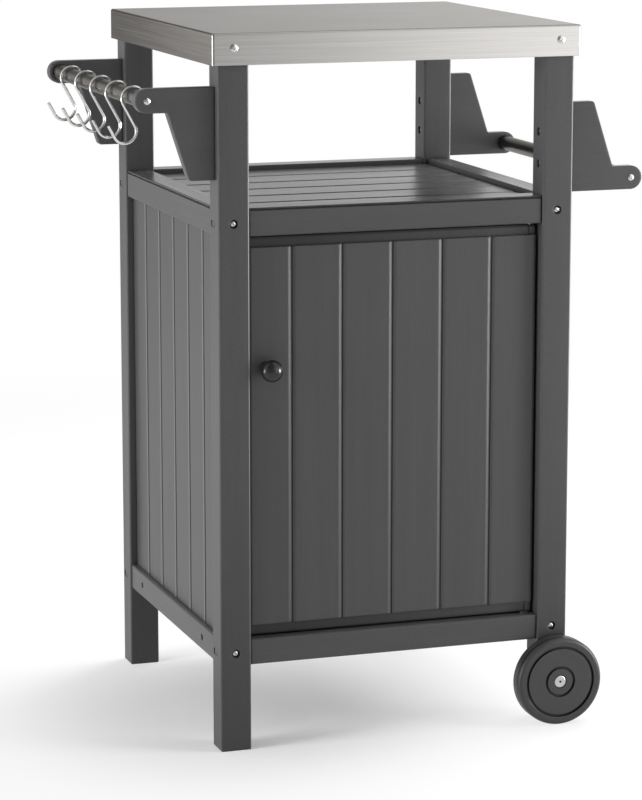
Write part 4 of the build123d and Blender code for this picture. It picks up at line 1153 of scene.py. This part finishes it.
class DressPlanks(bpy.types.Operator):
    """Finish the door, panels and shelf, whose grain breaks at each plank"""

    bl_idname = "grill_cart.dress_planks"
    bl_label = "Door, Panels and Shelf"

    def execute(self, context):
        door_low, door_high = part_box("door_panel")
        door_middle = (door_low.x + door_high.x) / 2 + DOOR_PLANK_SHIFT
        layouts = {
            "door_panel": ("z", "x", door_middle, ("y", -1)),
            "left_panel": ("z", "y", 0.0, ("x", -1)),
            "right_panel": ("z", "y", 0.0, ("x", 1)),
            "back_panel": ("z", "x", 0.0, ("y", 1)),
            "shelf_board": ("x", "y", 0.0, ("z", 1)),
        }
        extras = {
            "door_panel": {"band": (door_low, door_high), "painted_shades": DOOR_PAINTED_SHADES},
            "left_panel": {"shade": SIDE_PANEL_SHADE},
            "right_panel": {"shade": SIDE_PANEL_SHADE},
            "shelf_board": {"painted_shades": SHELF_PAINTED_SHADES},
        }
        for node, (grain, across, middle, (axis, way)) in layouts.items():
            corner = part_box(node)[1 if way > 0 else 0]
            planks = (across, middle, (axis, getattr(corner, axis), way), PLANK_LINES[node])
            dress(node, resin_finish(f"resin_{node}", grain, planks, **extras.get(node, {})))
        return {"FINISHED"}


class DressMetal(bpy.types.Operator):
    """Finish the worktop, bars, pins, axles and caps in steel"""

    bl_idname = "grill_cart.dress_metal"
    bl_label = "Worktop, Bars and Steel"

    def execute(self, context):
        dress("worktop_pan", worktop_finish())
        bar = bar_finish()
        dress("left_bar", bar)
        dress("right_bar", bar)
        bright = bright_finish("bright_steel", 0.26)
        for node in PLAIN_STEEL_NODES:
            dress(node, bright)
        low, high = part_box("axle_caps")
        dress("axle_caps", cap_finish((low + high) / 2, CAP_DIMPLE))
        return {"FINISHED"}


class DressMouldings(bpy.types.Operator):
    """Finish the catch, the plugs and the wheels"""

    bl_idname = "grill_cart.dress_mouldings"
    bl_label = "Catch, Plugs and Wheels"

    def execute(self, context):
        black = black_plastic_finish()
        for node in BLACK_PLASTIC_NODES:
            dress(node, black)
        for end in ENDS:
            low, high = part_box(f"{end}_wheel_tyre")
            centre = (low + high) / 2
            dress(f"{end}_wheel_hub", wheel_finish(f"{end}_hub_moulding", centre, 1.0, 0.48))
            tread = (low.y, -1) if end == "front" else (high.y, 1)
            dress(f"{end}_wheel_tyre", wheel_finish(f"{end}_tyre_moulding", centre, 0.95, 0.42, tread))
        return {"FINISHED"}


# Stage

def add_softbox(name, place, target, size, power, hidden):
    """A softbox that aims at a target and is hidden from glossy or diffuse rays."""
    bpy.ops.object.light_add(type="AREA", location=place)
    light = bpy.context.object
    light.name = name
    light.data.shape = "RECTANGLE"
    light.data.size, light.data.size_y = size
    light.data.energy = power
    aim = Vector(target) - Vector(place)
    light.rotation_euler = aim.to_track_quat("-Z", "Y").to_euler()
    setattr(light, f"visible_{hidden}", False)


def paint_sky():
    """A white wall behind and to the right, a glow from the left, and plain white where it is seen."""
    studio = bpy.context.scene.grill_cart_studio
    world = bpy.data.worlds.new("studio_sky")
    bpy.context.scene.world = world
    world.use_nodes = True
    sky = Finish("studio_sky", world.node_tree)
    heading = sky.node("ShaderNodeTexCoord", output="Generated")
    glow = sky.dot(heading, LEFT_GLOW_WAY).larger(0.0) ** 2.0 * studio.left_glow
    wall = sky.dot(heading, WALL_WAY).between(*WALL_EDGE) * studio.wall
    light = studio.sky + glow + wall
    strength = light + seen_ray(sky) * (1.0 - light)
    shader = sky.node("ShaderNodeBackground", inputs={"Color": WHITE, "Strength": strength})
    sky.node("ShaderNodeOutputWorld", inputs={"Surface": shader})


def seen_ray(finish):
    """1 where the camera sees a surface, also in a reflection."""
    camera = finish.node("ShaderNodeLightPath", output="Is Camera Ray")
    path = camera.socket.node
    glossy = Shade(finish, path.outputs["Is Glossy Ray"])
    transmission = Shade(finish, path.outputs["Is Transmission Ray"])
    return camera.larger(glossy).larger(transmission)


def floor_finish(colour, lift):
    """Pale floor that keeps the shadow near the cart and runs out to white."""
    finish = Finish("studio_floor")
    place = finish.place()
    x, y, z = finish.parts(place)
    middle_x, middle_y = SHADOW_MIDDLE
    beside = distance(x - middle_x, (y - middle_y) * SHADOW_SQUASH).between(*SHADOW_FADE)
    away = distance(x, y).between(*FLOOR_FADE).larger(beside * SHADOW_LOSS)
    fleck = finish.noise(place, scale=40)
    pale = finish.blend(fleck, *shades(colour, 0.99, 1.0))
    lit = finish.node("ShaderNodeBsdfDiffuse", inputs={"Color": pale})
    glow = finish.node("ShaderNodeEmission", inputs={"Color": WHITE, "Strength": lift})
    lifted = finish.node("ShaderNodeAddShader", inputs={0: lit, 1: glow})
    seen = seen_ray(finish)
    near = finish.node("ShaderNodeMixShader", inputs={0: seen, 1: lit, 2: lifted})
    far = finish.node("ShaderNodeEmission", inputs={"Color": WHITE, "Strength": 1.0})
    return finish.end(finish.node("ShaderNodeMixShader", inputs={0: away * seen, 1: near, 2: far}))


def curtain_finish(glow):
    """Light and dark stretches, by the turn from the front towards the left, and a dim ceiling."""
    finish = Finish("studio_curtain")
    x, y, z = finish.parts(finish.place())
    turn = x.math("ARCTAN2", x, y) / math.tau + 0.5
    stretch = finish.node("ShaderNodeValToRGB", {"color_ramp": CURTAIN_STOPS}, {"Fac": turn})
    dim = z.between(CURTAIN_HEIGHT * CEILING_START, CURTAIN_HEIGHT) * CEILING_DIM
    light = {"Color": finish.blend(dim, stretch, BLACK), "Strength": glow}
    return finish.end(finish.node("ShaderNodeEmission", inputs=light))


def add_curtain(glow):
    """A round curtain with a ceiling that only reflections show."""
    start_clean()
    bpy.ops.mesh.primitive_cylinder_add(
        vertices=96, radius=CURTAIN_RADIUS, depth=CURTAIN_HEIGHT, location=(0, 0, CURTAIN_HEIGHT / 2)
    )
    curtain = bpy.context.object
    put_in_mesh()
    bpy.ops.object.mode_set(mode="EDIT")
    pick_faces(curtain, looks_down)
    bpy.ops.mesh.delete(type="FACE")
    bpy.ops.object.mode_set(mode="OBJECT")
    curtain.name = "studio_curtain"
    curtain.data.materials.append(curtain_finish(glow))
    for rays in ("camera", "diffuse", "shadow", "transmission"):
        setattr(curtain, f"visible_{rays}", False)


class BuildStage(bpy.types.Operator):
    """Set the floor, the lights and the camera"""

    bl_idname = "grill_cart.build_stage"
    bl_label = "Studio"

    def execute(self, context):
        studio = context.scene.grill_cart_studio
        colours = context.scene.grill_cart_colours
        start_clean()
        bpy.ops.mesh.primitive_circle_add(vertices=64, radius=FLOOR_RADIUS, fill_type="NGON")
        floor = bpy.context.object
        floor.name = "studio_floor"
        floor.data.materials.append(floor_finish(colours.floor, studio.floor_lift))
        paint_sky()
        for name, place, target, size, power, hidden in SOFTBOXES:
            add_softbox(name, place, target, size, getattr(studio, power), hidden)
        add_curtain(studio.curtain_glow)
        bpy.ops.object.camera_add(location=studio.camera_place)
        camera = bpy.context.object
        camera.name = "photo_camera"
        camera.rotation_euler = (math.pi / 2 - studio.camera_tilt, 0, -studio.camera_turn)
        camera.data.sensor_fit = "VERTICAL"
        camera.data.sensor_height = SENSOR_HEIGHT
        camera.data.lens = studio.lens
        context.scene.camera = camera
        context.scene.view_settings.view_transform = "Standard"
        return {"FINISHED"}


class GrillCartPanel(bpy.types.Panel):
    """Buttons for the cart's pieces, with its sizes and colours"""

    bl_idname = "VIEW3D_PT_grill_cart"
    bl_label = "Grill Cart"
    bl_space_type = "VIEW_3D"
    bl_region_type = "UI"
    bl_category = "Grill Cart"

    def draw(self, context):
        for operator in OPERATORS:
            self.layout.operator(operator.bl_idname)
        for name in GROUPS:
            group = getattr(context.scene, name)
            for key in group.bl_rna.properties.keys():
                if key not in ("rna_type", "name"):
                    self.layout.prop(group, key)


GROUPS = {
    "grill_cart_sizes": GrillCartSizes,
    "grill_cart_colours": GrillCartColours,
    "grill_cart_studio": GrillCartStudio,
}
OPERATORS = (
    DressFrame,
    DressPlanks,
    DressMetal,
    DressMouldings,
    BuildFasteners,
    BuildKnob,
    BuildHooks,
    BuildStage,
)


def register():
    for one in (*GROUPS.values(), *OPERATORS, GrillCartPanel):
        bpy.utils.register_class(one)
    for name, group in GROUPS.items():
        setattr(bpy.types.Scene, name, bpy.props.PointerProperty(type=group))


def unregister():
    for name in GROUPS:
        delattr(bpy.types.Scene, name)
    for one in (GrillCartPanel, *reversed(OPERATORS), *reversed(GROUPS.values())):
        bpy.utils.unregister_class(one)


def main():
    register()
    bpy.ops.grill_cart.dress_frame()
    bpy.ops.grill_cart.dress_planks()
    bpy.ops.grill_cart.dress_metal()
    bpy.ops.grill_cart.dress_mouldings()
    bpy.ops.grill_cart.build_fasteners()
    bpy.ops.grill_cart.build_knob()
    bpy.ops.grill_cart.build_hooks()
    bpy.ops.grill_cart.build_stage()


if __name__ == "__main__":
    main()
